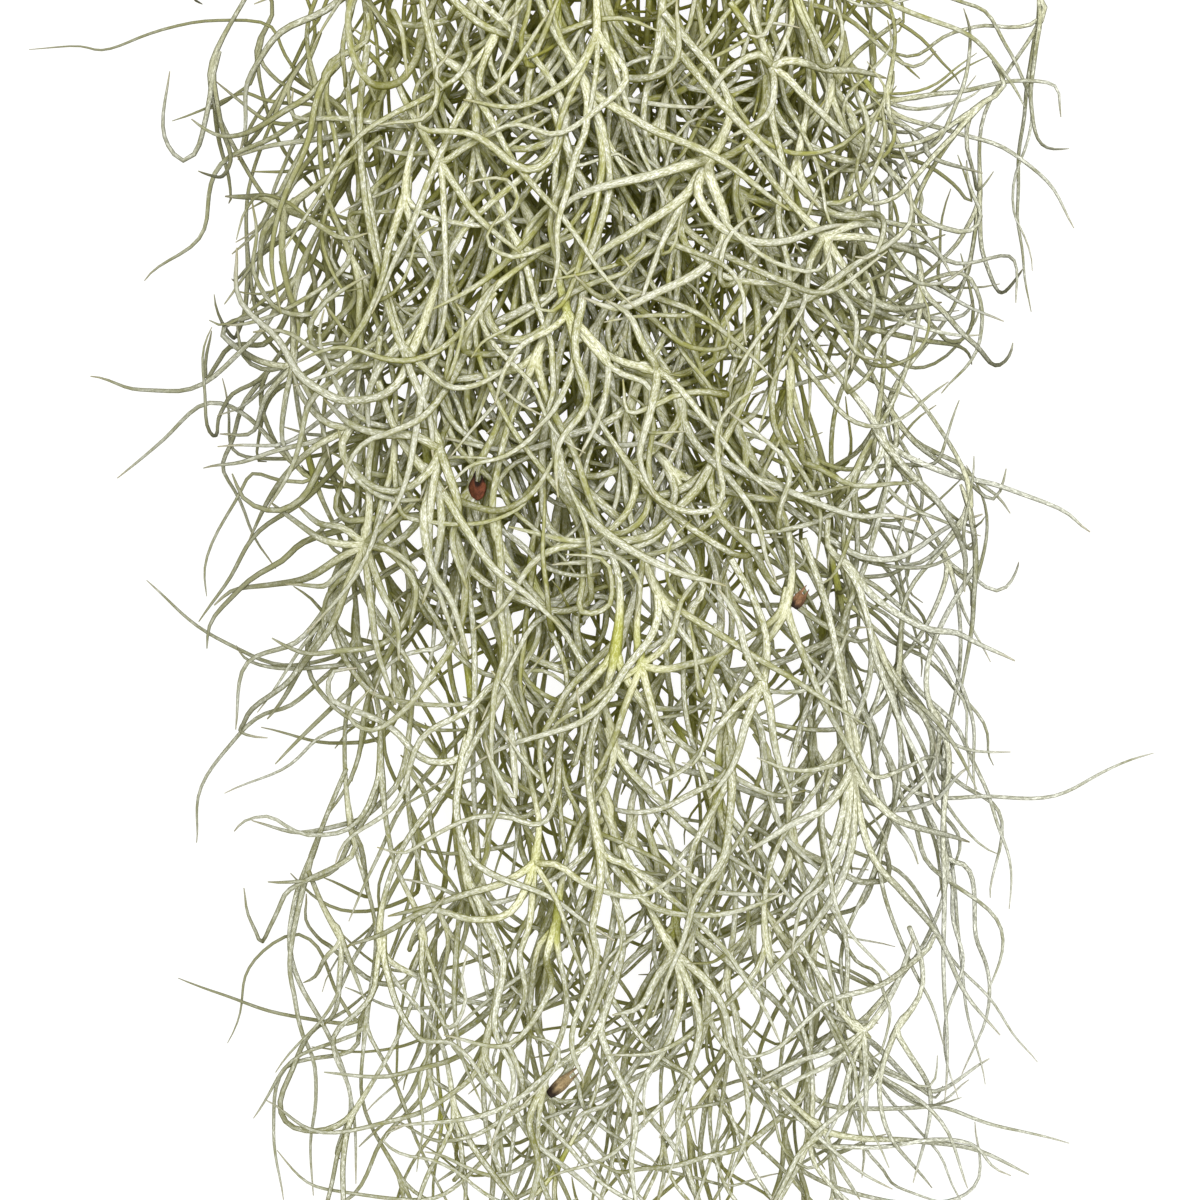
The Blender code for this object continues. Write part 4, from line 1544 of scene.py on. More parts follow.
    def threads(
        self, rng: np.random.Generator, bunch: Skeleton, owner: int, girth: float
    ) -> list[Thread]:
        """Draws a whole strand.

        Args:
            rng: Source of its small differences.
            bunch: The centre lines.
            owner: Number of the strand.
            girth: How stout it is.

        Returns:
            Its threads, in millimetres.
        """
        shade = float(rng.uniform(*self.shade))
        stem = bunch.stems[owner]
        marks = {}
        for point in stem:
            young = float(rng.random()) < self.young_share
            marks[point] = 1.0 if young else float(rng.uniform(*self.old_mark))
        found = [self.stem_thread(bunch, stem, marks, girth, shade)]
        for root in stem:
            for leaf in bunch.leaves.get(root, []):
                stout = girth * float(rng.uniform(*self.leaf_girth))
                if leaf[0] in bunch.strays:
                    stout *= self.stray_girth
                tint = float(np.clip(shade + rng.normal(0.0, self.shade_spread), 0.0, 1.0))
                thread = self.leaf_thread(bunch, root, leaf, marks[root], stout, tint)
                run = thread.run * lengths_along(thread.places)[-1]
                thread.places = self.wavering(rng, thread.places, run, 2.0 * self.buried)
                found.append(thread)
        return found


# ---------------- the bunch's sub-assemblies


@dataclass
class Room:
    """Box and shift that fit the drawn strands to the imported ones."""

    low: np.ndarray
    high: np.ndarray
    shift: np.ndarray
    scales: list[np.ndarray]
    edge: float = 0.4
    tips_y: Span = (-100.0, 20.0)
    tips_girth: float = 0.69
    clear: float = 3.0
    bend: float = 6.0
    held: float = 8.0
    above: float = 1.0

    def bend_aside(self, thread: Thread) -> None:
        """Bends a leaf aside where it would lie over a dry scale.

        Args:
            thread: The thread, in millimetres, in its place.
        """
        if np.ptp(thread.run) == 0.0:
            return
        lengths = lengths_along(thread.places)
        for scale in self.scales:
            away = thread.places[:, :2] - scale[:2]
            gap = np.linalg.norm(away, axis=1)
            near = int(gap.argmin())
            if gap[near] > self.clear or thread.places[near, 2] < scale[2] - self.above:
                continue
            swell = np.exp(-(((lengths - lengths[near]) / self.bend) ** 2))
            swell *= np.clip(lengths / self.held, 0.0, 1.0) * (self.clear - gap[near])
            thread.places[:, :2] += np.outer(swell, unit(away[near]))

    def settle(self, thread: Thread) -> Thread:
        """Moves a thread to its place, keeps it off the floor and in the box.

        Args:
            thread: The thread, in millimetres.

        Returns:
            The same thread, in metres.
        """
        thread.places = thread.places + self.shift
        self.bend_aside(thread)
        low = self.low + self.edge + thread.thick[:, None]
        high = self.high - self.edge - thread.thick[:, None]
        low[:, 2] -= self.edge
        thread.places = np.clip(thread.places, low, high) * MM
        tips = np.array(self.tips_y) * MM
        slim = np.interp(thread.places[:, 1], tips, (self.tips_girth, 1.0))
        thread.thick = thread.thick * slim * MM
        return thread


@dataclass
class Workshop:
    """What all pieces of threads are made with."""

    sweep: Sweep
    room: Room
    skins: dict[Tone, bpy.types.Material]
    heights: Span = (4.0, 40.0)
    girths: Span = (0.74, 1.25)

    def stoutness(self, height: float) -> float:
        """Says how much stouter a strand is at a mean height than a plain one."""
        return float(np.interp(height, self.heights, self.girths))

    def piece(self, name: str, threads: list[Thread], sides: int, tone: Tone) -> bpy.types.Object:
        """Makes one piece of threads.

        Args:
            name: The piece's name.
            threads: Its threads, in millimetres.
            sides: How many sides a thread has.
            tone: Its material slot.

        Returns:
            The piece.
        """
        settled = [self.room.settle(thread) for thread in threads]
        piece = self.sweep.run(name, settled, sides, self.skins[tone])
        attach(piece, "root")
        return piece


@dataclass
class PackedStrands:
    """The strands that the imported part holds, each one drawn finer on its own centre lines."""

    seed: int = 318
    low_lanes: tuple[Lane, ...] = (
        Lane(-0.66, 0.05, 138.0, -150.0),
        Lane(0.66, 0.05, 132.0, -146.0),
        Lane(-0.20, 0.04, 118.0, -120.0),
        Lane(0.24, 0.04, 126.0, -168.0),
    )
    rest_spots: tuple[tuple[int, float], ...] = ((0, 82.0), (0, -66.0), (1, 78.0), (1, -62.0))
    high_strands: int = 29
    top_y: Span = (92.0, 146.0)
    late_top_y: Span = (10.0, 70.0)
    tip_y: Span = (-184.0, -60.0)
    shortest: float = 90.0
    first_turn: float = 0.21
    side_reach: float = 0.97
    low_height: float = 0.12
    height_reach: float = 0.84
    sides: int = 7
    girth: Span = (0.84, 1.06)
    growth: Growth = Growth()
    form: StrandForm = StrandForm()
    bunch: Skeleton = field(default_factory=Skeleton)

    def lanes(self, rng: np.random.Generator) -> list[Lane]:
        """Spreads the strands over the half oval of the bunch.

        Args:
            rng: Source of the growth's chances.

        Returns:
            The lane of every strand.
        """
        found = list(self.low_lanes)
        for index in range(self.high_strands):
            spread = math.sqrt((index + 0.5) / self.high_strands)
            angle = math.pi * ((GOLDEN * index + self.first_turn) % 1.0)
            side = self.side_reach * spread * math.cos(angle)
            height = self.low_height + self.height_reach * spread * math.sin(angle)
            late = index % 4 == 2
            top = float(rng.uniform(*(self.late_top_y if late else self.top_y)))
            tip = float(rng.uniform(*self.tip_y))
            found.append(Lane(side, height, top, min(tip, top - self.shortest)))
        return found

    def grow(self) -> None:
        """Grows and settles the centre lines."""
        rng = np.random.default_rng(self.seed)
        self.bunch = self.growth.grow_stems(rng, self.lanes(rng), self.rest_spots)
        claimed = StrayLeaves().place(self.growth, self.bunch)
        self.growth.grow_leaves(rng, self.bunch, claimed)
        Settling(self.bunch).settle()

    def find_shift(self) -> np.ndarray:
        """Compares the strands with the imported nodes.

        Returns:
            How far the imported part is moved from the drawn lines, in millimetres.
        """
        moves = []
        for owner, stem in enumerate(self.bunch.stems):
            points = list(stem)
            for root in stem:
                points += [point for leaf in self.bunch.leaves.get(root, []) for point in leaf]
            own = np.array([self.bunch.place[point] for point in points])
            low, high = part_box(f"strand_{owner + 1:02d}")
            moves.append(np.array(low)[:2] / MM - own.min(axis=0)[:2])
            moves.append(np.array(high)[:2] / MM - own.max(axis=0)[:2])
        return np.array((*np.median(moves, axis=0), 0.0))

    def tones(self) -> list[Tone]:
        """Gives each strand's slot by its height in the bunch.

        Returns:
            The slots, in the order of the strands.
        """
        heights = np.array(self.bunch.heights())
        # the highest strands get the palest slot and the lowest the darkest: painted shade by depth
        order = {int(strand): rank for rank, strand in enumerate(np.argsort(-heights))}
        names = list(Tone)
        return [names[order[i] * len(names) // len(heights)] for i in range(len(heights))]

    def build(self, shop: Workshop) -> list[bpy.types.Object]:
        """Makes one fine piece for every packed strand.

        Args:
            shop: What the pieces are made with.

        Returns:
            The pieces.
        """
        rng = np.random.default_rng(self.seed + 1)
        pieces = []
        for owner, (tone, height) in enumerate(zip(self.tones(), self.bunch.heights())):
            girth = float(rng.uniform(*self.girth)) * shop.stoutness(height)
            threads = self.form.threads(rng, self.bunch, owner, girth)
            piece = shop.piece(f"moss_{owner + 1:02d}", threads, self.sides, tone)
            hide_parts(f"strand_{owner + 1:02d}")
            pieces.append(piece)
        return pieces


@dataclass
class Tangle:
    """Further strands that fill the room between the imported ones."""

    name: str
    seed: int
    strands: int
    top_y: Span
    tip_y: Span
    sides: Span = (0.0, 0.97)
    shortest: float = 70.0
    last_y: float = -178.0
    first_turn: float = 0.55
    low_height: float = 0.11
    height_reach: float = 0.84
    groups: int = 2
    facets: int = 6
    girth: Span = (0.76, 1.04)
    clumps: int = 9
    clump_width: float = 0.11
    side_room: float = 5.0
    headroom: float = 2.5
    drawn_in: float = 0.7
    drawn_down: float = 0.6
    pressed: float = 0.8
    floor_room: float = 0.7
    easing: int = 6
    ease: float = 0.6
    growth: Growth = Growth(
        envelope=Envelope(
            (
                (-188.0, 3.0, 14.0, 12.0),
                (-150.0, 1.0, 36.0, 22.0),
                (-100.0, -2.0, 51.0, 32.0),
                (-20.0, -3.0, 56.0, 41.0),
                (10.0, 0.0, 62.0, 45.0),
                (45.0, 1.0, 57.0, 47.0),
                (72.0, 3.0, 58.0, 47.0),
                (100.0, 4.0, 67.0, 48.0),
                (146.0, 5.0, 54.0, 38.0),
            )
        ),
        leaf_opening=(8.0, 48.0),
        leaf_curl=(40.0, 235.0),
        curl_lean=1.0,
        leaf_length=(28.0, 54.0),
        leaf_twist=(-2.5, 2.5),
        leaf_droop=0.38,
        leaves_at_point=(2, 3, 3),
        snaking=(10.0, 80.0),
    )
    form: StrandForm = StrandForm()

    def lanes(self, rng: np.random.Generator) -> list[Lane]:
        """Spreads the strands over the half oval of the bunch.

        Args:
            rng: Source of the growth's chances.

        Returns:
            The lane of every strand.
        """
        found = []
        inner, outer = self.sides
        for index in range(self.strands):
            clump = index % self.clumps
            even = (clump + 0.5) / self.clumps
            spread = math.sqrt(inner**2 + (outer**2 - inner**2) * even)
            angle = math.pi * ((GOLDEN * clump + self.first_turn) % 1.0)
            side = spread * math.cos(angle) + float(rng.normal(0.0, self.clump_width))
            height = spread * math.sin(angle) + float(rng.normal(0.0, self.clump_width))
            height = self.low_height + self.height_reach * float(np.clip(height, 0.0, 1.0))
            top = float(rng.uniform(*self.top_y))
            tip = self.tip_y[1] + (self.tip_y[0] - self.tip_y[1]) * float(rng.random())
            tip = max(self.last_y, min(tip, top - self.shortest))
            found.append(Lane(float(np.clip(side, -1.0, 1.0)), height, top, tip))
        return found

    def hem_in(self, bunch: Skeleton) -> None:
        """Draws back what reaches out past the bunch's sides or its top.

        The leaves that were drawn back are eased, so that none turns in a sharp hook.

        Args:
            bunch: The strands, whose points are moved.
        """
        place = np.array(bunch.place)
        middle, half, roof = self.growth.envelope.at(place[:, 1])
        over = np.maximum(np.abs(place[:, 0] - middle) - half - self.side_room, 0.0)
        place[:, 0] -= self.drawn_in * over * np.sign(place[:, 0] - middle)
        place[:, 1] -= self.drawn_down * over
        place[:, 2] -= self.pressed * np.maximum(place[:, 2] - roof - self.headroom, 0.0)
        place[:, 2] = np.maximum(place[:, 2], self.floor_room)
        for leaf in (line for lines in bunch.leaves.values() for line in lines):
            share = min(float(over[leaf].max()) / self.side_room, 1.0)
            for _ in range(self.easing):
                between = 0.5 * (place[leaf[:-2]] + place[leaf[2:]])
                place[leaf[1:-1]] += self.ease * share * (between - place[leaf[1:-1]])
        bunch.place = list(place)

    def build(self, shop: Workshop) -> list[bpy.types.Object]:
        """Makes the tangle in pieces of several strands each.

        Args:
            shop: What the pieces are made with.

        Returns:
            The pieces.
        """
        rng = np.random.default_rng(self.seed)
        bunch = self.growth.grow_stems(rng, self.lanes(rng))
        self.growth.grow_leaves(rng, bunch, {})
        self.hem_in(bunch)
        heights = bunch.heights()
        order = np.argsort(heights)[::-1]
        pieces = []
        # the highest strands get the palest slot and the lowest the darkest: painted shade by depth
        for rank, tone in enumerate(Tone):
            share = order[rank * len(order) // len(Tone) : (rank + 1) * len(order) // len(Tone)]
            for group in range(self.groups):
                threads = []
                for owner in share[group :: self.groups]:
                    girth = float(rng.uniform(*self.girth)) * shop.stoutness(heights[owner])
                    threads += self.form.threads(rng, bunch, int(owner), girth)
                name = f"{self.name}_{tone.name.lower()}_{group + 1}"
                pieces.append(shop.piece(name, threads, self.facets, tone))
        return pieces


TANGLES = (
    Tangle("crown", 77, 60, top_y=(92.0, 146.0), tip_y=(70.0, -25.0), clumps=14),
    Tangle("edge", 79, 7, top_y=(0.0, 120.0), tip_y=(-40.0, -110.0), sides=(0.8, 1.0), groups=1),
)


@dataclass(frozen=True)
class Spray:
    """One growth point on the bunch's face.

    Its ways are the stem up to that point, then each leaf from there, as x, y, x, y … from above.
    """

    tone: Tone
    wide: float
    young: float
    lift: float
    ways: tuple[tuple[float, ...], ...]


SPRAYS = (
    Spray(Tone.SILVER, wide=0.8, young=0.5, lift=7.0, ways=(
        (10.3, 95.0, 15.0, 89.7, 19.3, 84.7, 21.2, 79.7, 19.7, 74.7, 18.0, 72.0),
        (15.0, 67.5, 11.3, 60.0, 8.7, 53.3, 6.3, 47.3),
        (14.3, 65.8, 10.0, 62.5, 5.0, 59.5, 0.0, 56.3, -4.7, 51.3),
        (14.7, 70.3, 9.2, 68.7, 1.7, 67.0, -4.2, 64.7, -8.7, 60.3),
        (15.7, 66.3, 17.5, 62.0, 20.3, 59.5, 25.0, 58.3, 30.8, 58.8, 36.7, 60.7, 41.7, 61.8),
        (17.7, 68.3, 20.3, 61.3, 19.0, 56.0, 15.0, 52.5, 9.2, 49.7, 3.0, 47.0, -3.0, 49.0),
    )),
    Spray(Tone.SILVER, wide=0.62, young=0.3, lift=6.0, ways=(
        (24.2, 103.3, 25.0, 96.7, 27.0, 89.7, 28.0, 87.3),
        (30.8, 88.0, 36.7, 87.3, 41.7, 88.0, 48.0, 87.0),
        (30.3, 85.5, 33.7, 82.2, 40.0, 77.5, 46.3, 73.7, 50.8, 68.0),
        (28.3, 83.3, 27.5, 79.2, 24.2, 76.7, 20.7, 75.0),
        (26.0, 88.7, 22.5, 87.3, 19.2, 84.7, 16.7, 80.3),
    )),
    Spray(Tone.GREEN, wide=0.6, young=0.4, lift=6.5, ways=(
        (-1.3, 105.0, -0.8, 100.0, -0.5, 95.0, -0.5, 92.0),
        (2.0, 86.7, 3.7, 81.7, 6.7, 72.5, 11.3, 63.7),
        (-3.3, 85.8, -6.7, 82.5, -13.3, 79.5, -22.0, 81.0),
        (-0.5, 85.0, -1.7, 78.3, -4.2, 71.7),
        (-2.3, 86.7, -6.0, 78.3, -8.0, 71.7, -11.7, 65.8),
        (4.2, 84.2, 0.0, 79.2, -6.7, 75.0, -14.2, 76.7, -21.7, 73.3),
    )),
    Spray(Tone.SILVER, wide=0.66, young=0.95, lift=6.0, ways=(
        (-5.7, 78.3, -7.2, 70.0, -7.2, 60.0, -6.7, 52.5, -5.3, 46.7),
        (-1.7, 41.3, 2.5, 37.0, 8.3, 34.2, 6.7, 26.7),
        (-4.0, 40.3, -4.7, 35.8, -7.3, 30.8, -11.7, 26.7),
        (-8.0, 43.7, -12.0, 41.7, -15.3, 37.5, -17.3, 31.7),
        (-1.7, 42.5, 1.3, 38.3, 0.0, 30.0, -3.3, 23.3),
    )),
    Spray(Tone.SILVER, wide=0.7, young=0.25, lift=6.5, ways=(
        (-38.0, 90.8, -39.3, 80.8, -39.0, 70.0, -37.7, 60.8, -35.7, 51.7, -33.0, 42.5, -29.2, 33.3,
         -26.3, 24.7),
        (-28.3, 20.3, -33.0, 17.8, -38.0, 19.3, -41.7, 23.7, -43.3, 28.7),
        (-27.3, 16.7, -28.0, 9.2, -26.7, 2.5, -23.0, -7.5),
        (-24.7, 20.8, -23.0, 15.0, -24.2, 9.2, -21.7, 1.7),
        (-30.0, 26.7, -35.8, 27.2, -41.7, 29.2, -45.8, 33.3),
    )),
    Spray(Tone.SILVER, wide=0.66, young=0.15, lift=5.0, ways=(
        (-41.7, 86.7, -40.7, 78.3, -38.0, 66.7, -36.3, 56.7, -34.3, 48.3, -32.7, 42.5),
        (-30.3, 35.8, -27.7, 29.2, -27.0, 23.0),
        (-35.8, 38.3, -38.0, 33.3, -38.3, 26.7),
        (-29.2, 38.3, -24.2, 34.7, -18.3, 35.8, -13.3, 39.2),
    )),
    Spray(Tone.SILVER, wide=0.78, young=0.3, lift=7.5, ways=(
        (-36.3, 35.8, -33.7, 28.3, -30.3, 23.0, -27.3, 20.0),
        (-22.0, 12.0, -17.0, 5.0, -11.7, 0.7, -6.0, -4.7),
        (-25.7, 13.3, -26.7, 6.7, -29.0, -0.3),
        (-28.7, 13.3, -27.3, 5.0, -24.2, 0.0, -21.3, -9.2),
    )),
    Spray(Tone.SILVER, wide=0.66, young=0.35, lift=6.0, ways=(
        (-36.0, 43.3, -37.0, 37.0, -39.0, 31.3, -40.8, 28.7),
        (-47.0, 25.3, -52.0, 21.3, -56.3, 16.3, -60.0, 10.0),
        (-45.0, 29.2, -49.2, 33.7, -51.3, 38.3),
        (-42.5, 25.0, -40.0, 20.0, -34.7, 16.7, -28.3, 16.7),
    )),
    Spray(Tone.SILVER, wide=0.72, young=0.5, lift=6.0, ways=(
        (-37.3, 26.7, -38.2, 20.8, -38.0, 15.0, -38.8, 9.5),
        (-41.7, 2.5, -44.3, -3.0, -47.3, -8.0, -52.0, -14.0, -57.0, -20.3),
        (-44.2, 9.5, -49.2, 11.7, -55.3, 16.7),
        (-42.5, 12.0, -46.7, 12.7, -50.3, 15.7),
        (-35.3, 12.3, -31.0, 15.7),
        (-34.0, 8.0, -30.0, 4.7),
        (-37.7, 0.0, -36.7, -8.3, -33.7, -17.3),
        (-35.8, 1.7, -33.3, -3.3, -33.3, -10.0),
    )),
    Spray(Tone.OLIVE, wide=0.66, young=0.3, lift=4.0, ways=(
        (-30.0, 16.7, -33.3, 13.3, -36.7, 10.0),
        (-42.5, 7.3, -48.7, 3.8, -55.0, 2.8, -62.5, 1.7, -66.0, -1.0),
        (-33.3, 6.7, -30.0, 1.7, -31.7, -5.0),
    )),
    Spray(Tone.GREEN, wide=0.62, young=0.55, lift=5.0, ways=(
        (-35.8, 75.8, -42.5, 71.3, -49.2, 67.3, -52.3, 65.3),
        (-56.0, 67.3, -59.7, 68.3, -64.0, 69.0),
        (-53.0, 59.2, -52.0, 52.5, -50.3, 46.3, -50.7, 41.7),
        (-48.0, 63.0, -42.5, 59.3, -38.0, 60.0),
        (-56.0, 62.0, -57.0, 56.3, -55.5, 52.7),
    )),
    Spray(Tone.GREEN, wide=0.55, young=0.3, lift=4.5, ways=(
        (-53.3, 56.7, -51.7, 50.0, -51.0, 44.2, -51.3, 39.3),
        (-56.3, 39.8, -60.8, 42.3, -64.5, 45.3, -63.3, 47.3, -58.3, 48.2, -51.7, 50.2),
        (-56.3, 34.2, -59.0, 28.3, -64.7, 28.0),
        (-48.7, 35.0, -46.3, 30.0, -45.0, 23.7),
        (-52.5, 33.3, -53.0, 26.7, -50.7, 21.7),
    )),
    Spray(Tone.SILVER, wide=0.64, young=0.3, lift=6.0, ways=(
        (-34.0, 86.7, -31.3, 80.3, -28.3, 75.3, -26.0, 71.3),
        (-25.2, 61.7, -25.0, 51.7, -25.7, 44.2, -29.3, 38.0),
        (-21.3, 64.0, -16.7, 59.2, -13.0, 56.0),
        (-21.7, 73.3, -15.8, 76.2, -9.2, 79.3),
    )),
    Spray(Tone.GREEN, wide=0.64, young=0.45, lift=5.5, ways=(
        (23.7, 74.2, 28.3, 68.3, 33.3, 63.0, 36.7, 60.0),
        (39.7, 55.3, 43.7, 50.3, 49.2, 48.5, 58.0, 50.7),
        (41.7, 61.7, 47.0, 62.2, 50.0, 60.3),
        (38.3, 52.5, 42.0, 46.3, 41.7, 38.3),
        (34.2, 55.0, 33.3, 48.3, 30.0, 42.5),
        (43.3, 59.7, 50.8, 59.0, 56.7, 56.3),
    )),
    Spray(Tone.SILVER, wide=0.66, young=0.25, lift=6.5, ways=(
        (-1.7, 41.7, 2.5, 39.0, 6.0, 38.0, 9.2, 37.3),
        (13.3, 33.7, 17.5, 28.3, 22.5, 22.0, 29.0, 17.0),
        (8.0, 30.0, 6.7, 23.3, 9.2, 16.7),
        (6.7, 41.7, 4.7, 45.8, 0.8, 48.3),
    )),
    Spray(Tone.SILVER, wide=0.74, young=0.4, lift=6.0, ways=(
        (33.3, 10.0, 37.0, 0.0, 39.3, -10.0, 40.7, -18.3, 41.7, -28.0),
        (37.0, -34.3, 31.7, -36.7, 24.0, -41.0),
        (38.8, -39.3, 35.3, -46.7, 28.0, -54.3),
        (41.7, -39.7, 38.7, -48.3, 33.3, -56.0, 25.0, -65.0),
        (44.7, -41.7, 50.0, -48.3, 57.3, -56.7, 62.0, -66.7, 68.7, -74.7),
        (47.7, -35.3, 54.2, -38.3, 63.0, -41.3),
        (40.3, -39.3, 37.0, -46.7, 33.3, -50.0, 31.7, -58.3),
    )),
    Spray(Tone.OLIVE, wide=0.5, young=0.3, lift=6.5, ways=(
        (41.0, -16.7, 42.0, -20.8, 42.7, -25.3),
        (45.3, -29.3, 50.8, -28.0, 55.8, -26.5, 60.3, -27.8),
        (37.7, -27.3, 31.7, -28.0, 25.8, -25.7),
    )),
    Spray(Tone.GREEN, wide=0.55, young=0.3, lift=4.5, ways=(
        (64.7, 6.7, 58.3, -3.3, 55.2, -10.8, 55.3, -16.7, 57.7, -21.0),
        (59.0, -26.7, 58.3, -35.0, 58.3, -46.7, 58.2, -58.3, 59.5, -73.3, 58.8, -86.3),
        (56.0, -28.3, 52.5, -32.5, 48.8, -36.3),
    )),
    Spray(Tone.SILVER, wide=0.72, young=0.3, lift=6.5, ways=(
        (21.3, 6.7, 25.3, -0.3, 27.3, -6.7, 26.7, -13.3),
        (22.7, -16.7, 19.2, -20.7, 14.3, -27.3, 9.2, -30.3),
        (24.0, -19.2, 21.7, -26.7, 17.7, -32.5),
        (27.7, -17.3, 28.7, -24.2, 31.7, -33.3),
        (23.7, -8.3, 22.5, -3.3, 19.2, 1.7),
    )),
    Spray(Tone.GREEN, wide=0.62, young=0.95, lift=6.0, ways=(
        (7.0, 7.5, 6.3, 0.0, 6.0, -5.8, 6.7, -10.3),
        (2.3, -13.7, -1.7, -17.3, -6.7, -19.7, -10.3, -24.2),
        (10.3, -11.3, 15.0, -10.3, 19.3, -9.2, 22.3, -6.0),
        (4.3, -16.7, 2.0, -23.3, -1.7, -30.3),
        (8.3, -16.7, 10.3, -23.3, 13.0, -29.7),
        (11.3, -6.7, 13.3, 0.0, 16.7, 4.2),
    )),
    Spray(Tone.GREEN, wide=0.62, young=0.75, lift=5.0, ways=(
        (-13.3, -21.7, -11.3, -30.0, -10.0, -36.7, -10.7, -43.0),
        (-15.8, -46.3, -21.7, -48.3, -28.3, -50.7, -35.3, -52.7),
        (-14.3, -50.8, -20.8, -52.7, -28.3, -51.3, -35.8, -55.3, -42.5, -58.3),
        (-11.7, -53.3, -13.0, -58.3, -11.8, -64.2, -13.3, -69.0, -17.0, -75.3),
        (-7.0, -49.3, -4.3, -57.5, -1.3, -65.3),
        (-6.7, -43.3, -1.7, -46.7, 6.7, -48.3, 15.0, -43.3),
    )),
    Spray(Tone.GREEN, wide=0.58, young=0.45, lift=5.0, ways=(
        (-49.7, -46.3, -47.0, -52.0, -43.7, -57.3),
        (-41.0, -63.3, -39.5, -67.3),
        (-44.0, -64.2, -44.7, -69.2, -47.0, -72.3),
        (-46.3, -60.3, -48.3, -63.7, -50.7, -65.3),
    )),
    Spray(Tone.GREEN, wide=0.52, young=0.1, lift=4.0, ways=(
        (-42.5, -28.3, -46.3, -36.7, -49.3, -44.0),
        (-52.0, -50.8, -53.2, -59.2, -51.5, -65.8, -46.7, -73.3, -43.3, -80.3, -41.7, -88.3, -41.5,
         -99.2),
        (-53.0, -60.0, -52.2, -68.3, -51.0, -74.3, -49.0, -79.3, -48.8, -85.8, -49.7, -93.3, -49.2,
         -102.5),
    )),
    Spray(Tone.SILVER, wide=0.74, young=0.35, lift=5.5, ways=(
        (3.3, -40.0, 6.7, -47.0, 9.3, -53.0, 12.0, -57.7),
        (15.0, -64.2, 16.5, -70.0, 15.0, -76.7, 11.3, -85.8),
        (17.0, -62.0, 20.3, -67.3, 21.8, -73.3, 24.7, -80.0),
        (9.2, -62.0, 6.7, -66.7, 2.0, -68.3),
        (13.3, -65.0, 10.8, -73.3, 6.7, -80.0, 5.0, -88.3),
    )),
    Spray(Tone.SILVER, wide=0.64, young=0.35, lift=5.0, ways=(
        (32.5, -55.8, 37.5, -64.2, 41.0, -69.7, 44.0, -72.3),
        (38.3, -75.0, 31.7, -76.8, 26.3, -79.7),
        (39.7, -76.0, 33.7, -79.2, 28.3, -82.3),
        (44.3, -80.0, 44.5, -89.2),
        (41.7, -78.3, 39.7, -85.8, 36.7, -91.7),
        (47.3, -68.3, 50.8, -62.5, 53.0, -56.7),
    )),
    Spray(Tone.SILVER, wide=0.6, young=0.25, lift=5.0, ways=(
        (52.0, -55.0, 54.3, -60.8, 54.3, -66.7, 50.0, -72.3),
        (47.7, -77.0, 47.0, -83.3, 49.3, -91.7, 57.0, -100.8),
        (52.0, -76.3, 55.8, -82.3, 56.0, -89.2, 53.3, -98.7),
        (46.3, -79.7, 41.7, -84.3, 36.3, -88.7, 31.3, -95.3, 28.0, -100.8),
    )),
    Spray(Tone.OLIVE, wide=0.52, young=0.1, lift=6.0, ways=(
        (56.7, -56.7, 55.3, -59.2, 53.3, -60.7),
        (46.7, -64.2, 38.3, -66.3, 33.3, -70.0, 29.2, -74.0, 24.2, -75.5, 21.3, -73.3),
    )),
    Spray(Tone.GREEN, wide=0.6, young=0.35, lift=5.0, ways=(
        (28.3, -80.0, 33.3, -85.0, 37.3, -88.7),
        (43.7, -90.2, 53.3, -91.7, 64.2, -94.2, 73.7, -98.7),
        (39.7, -94.3, 43.7, -100.8),
        (33.3, -91.7, 30.0, -98.3, 27.5, -102.5),
    )),
)


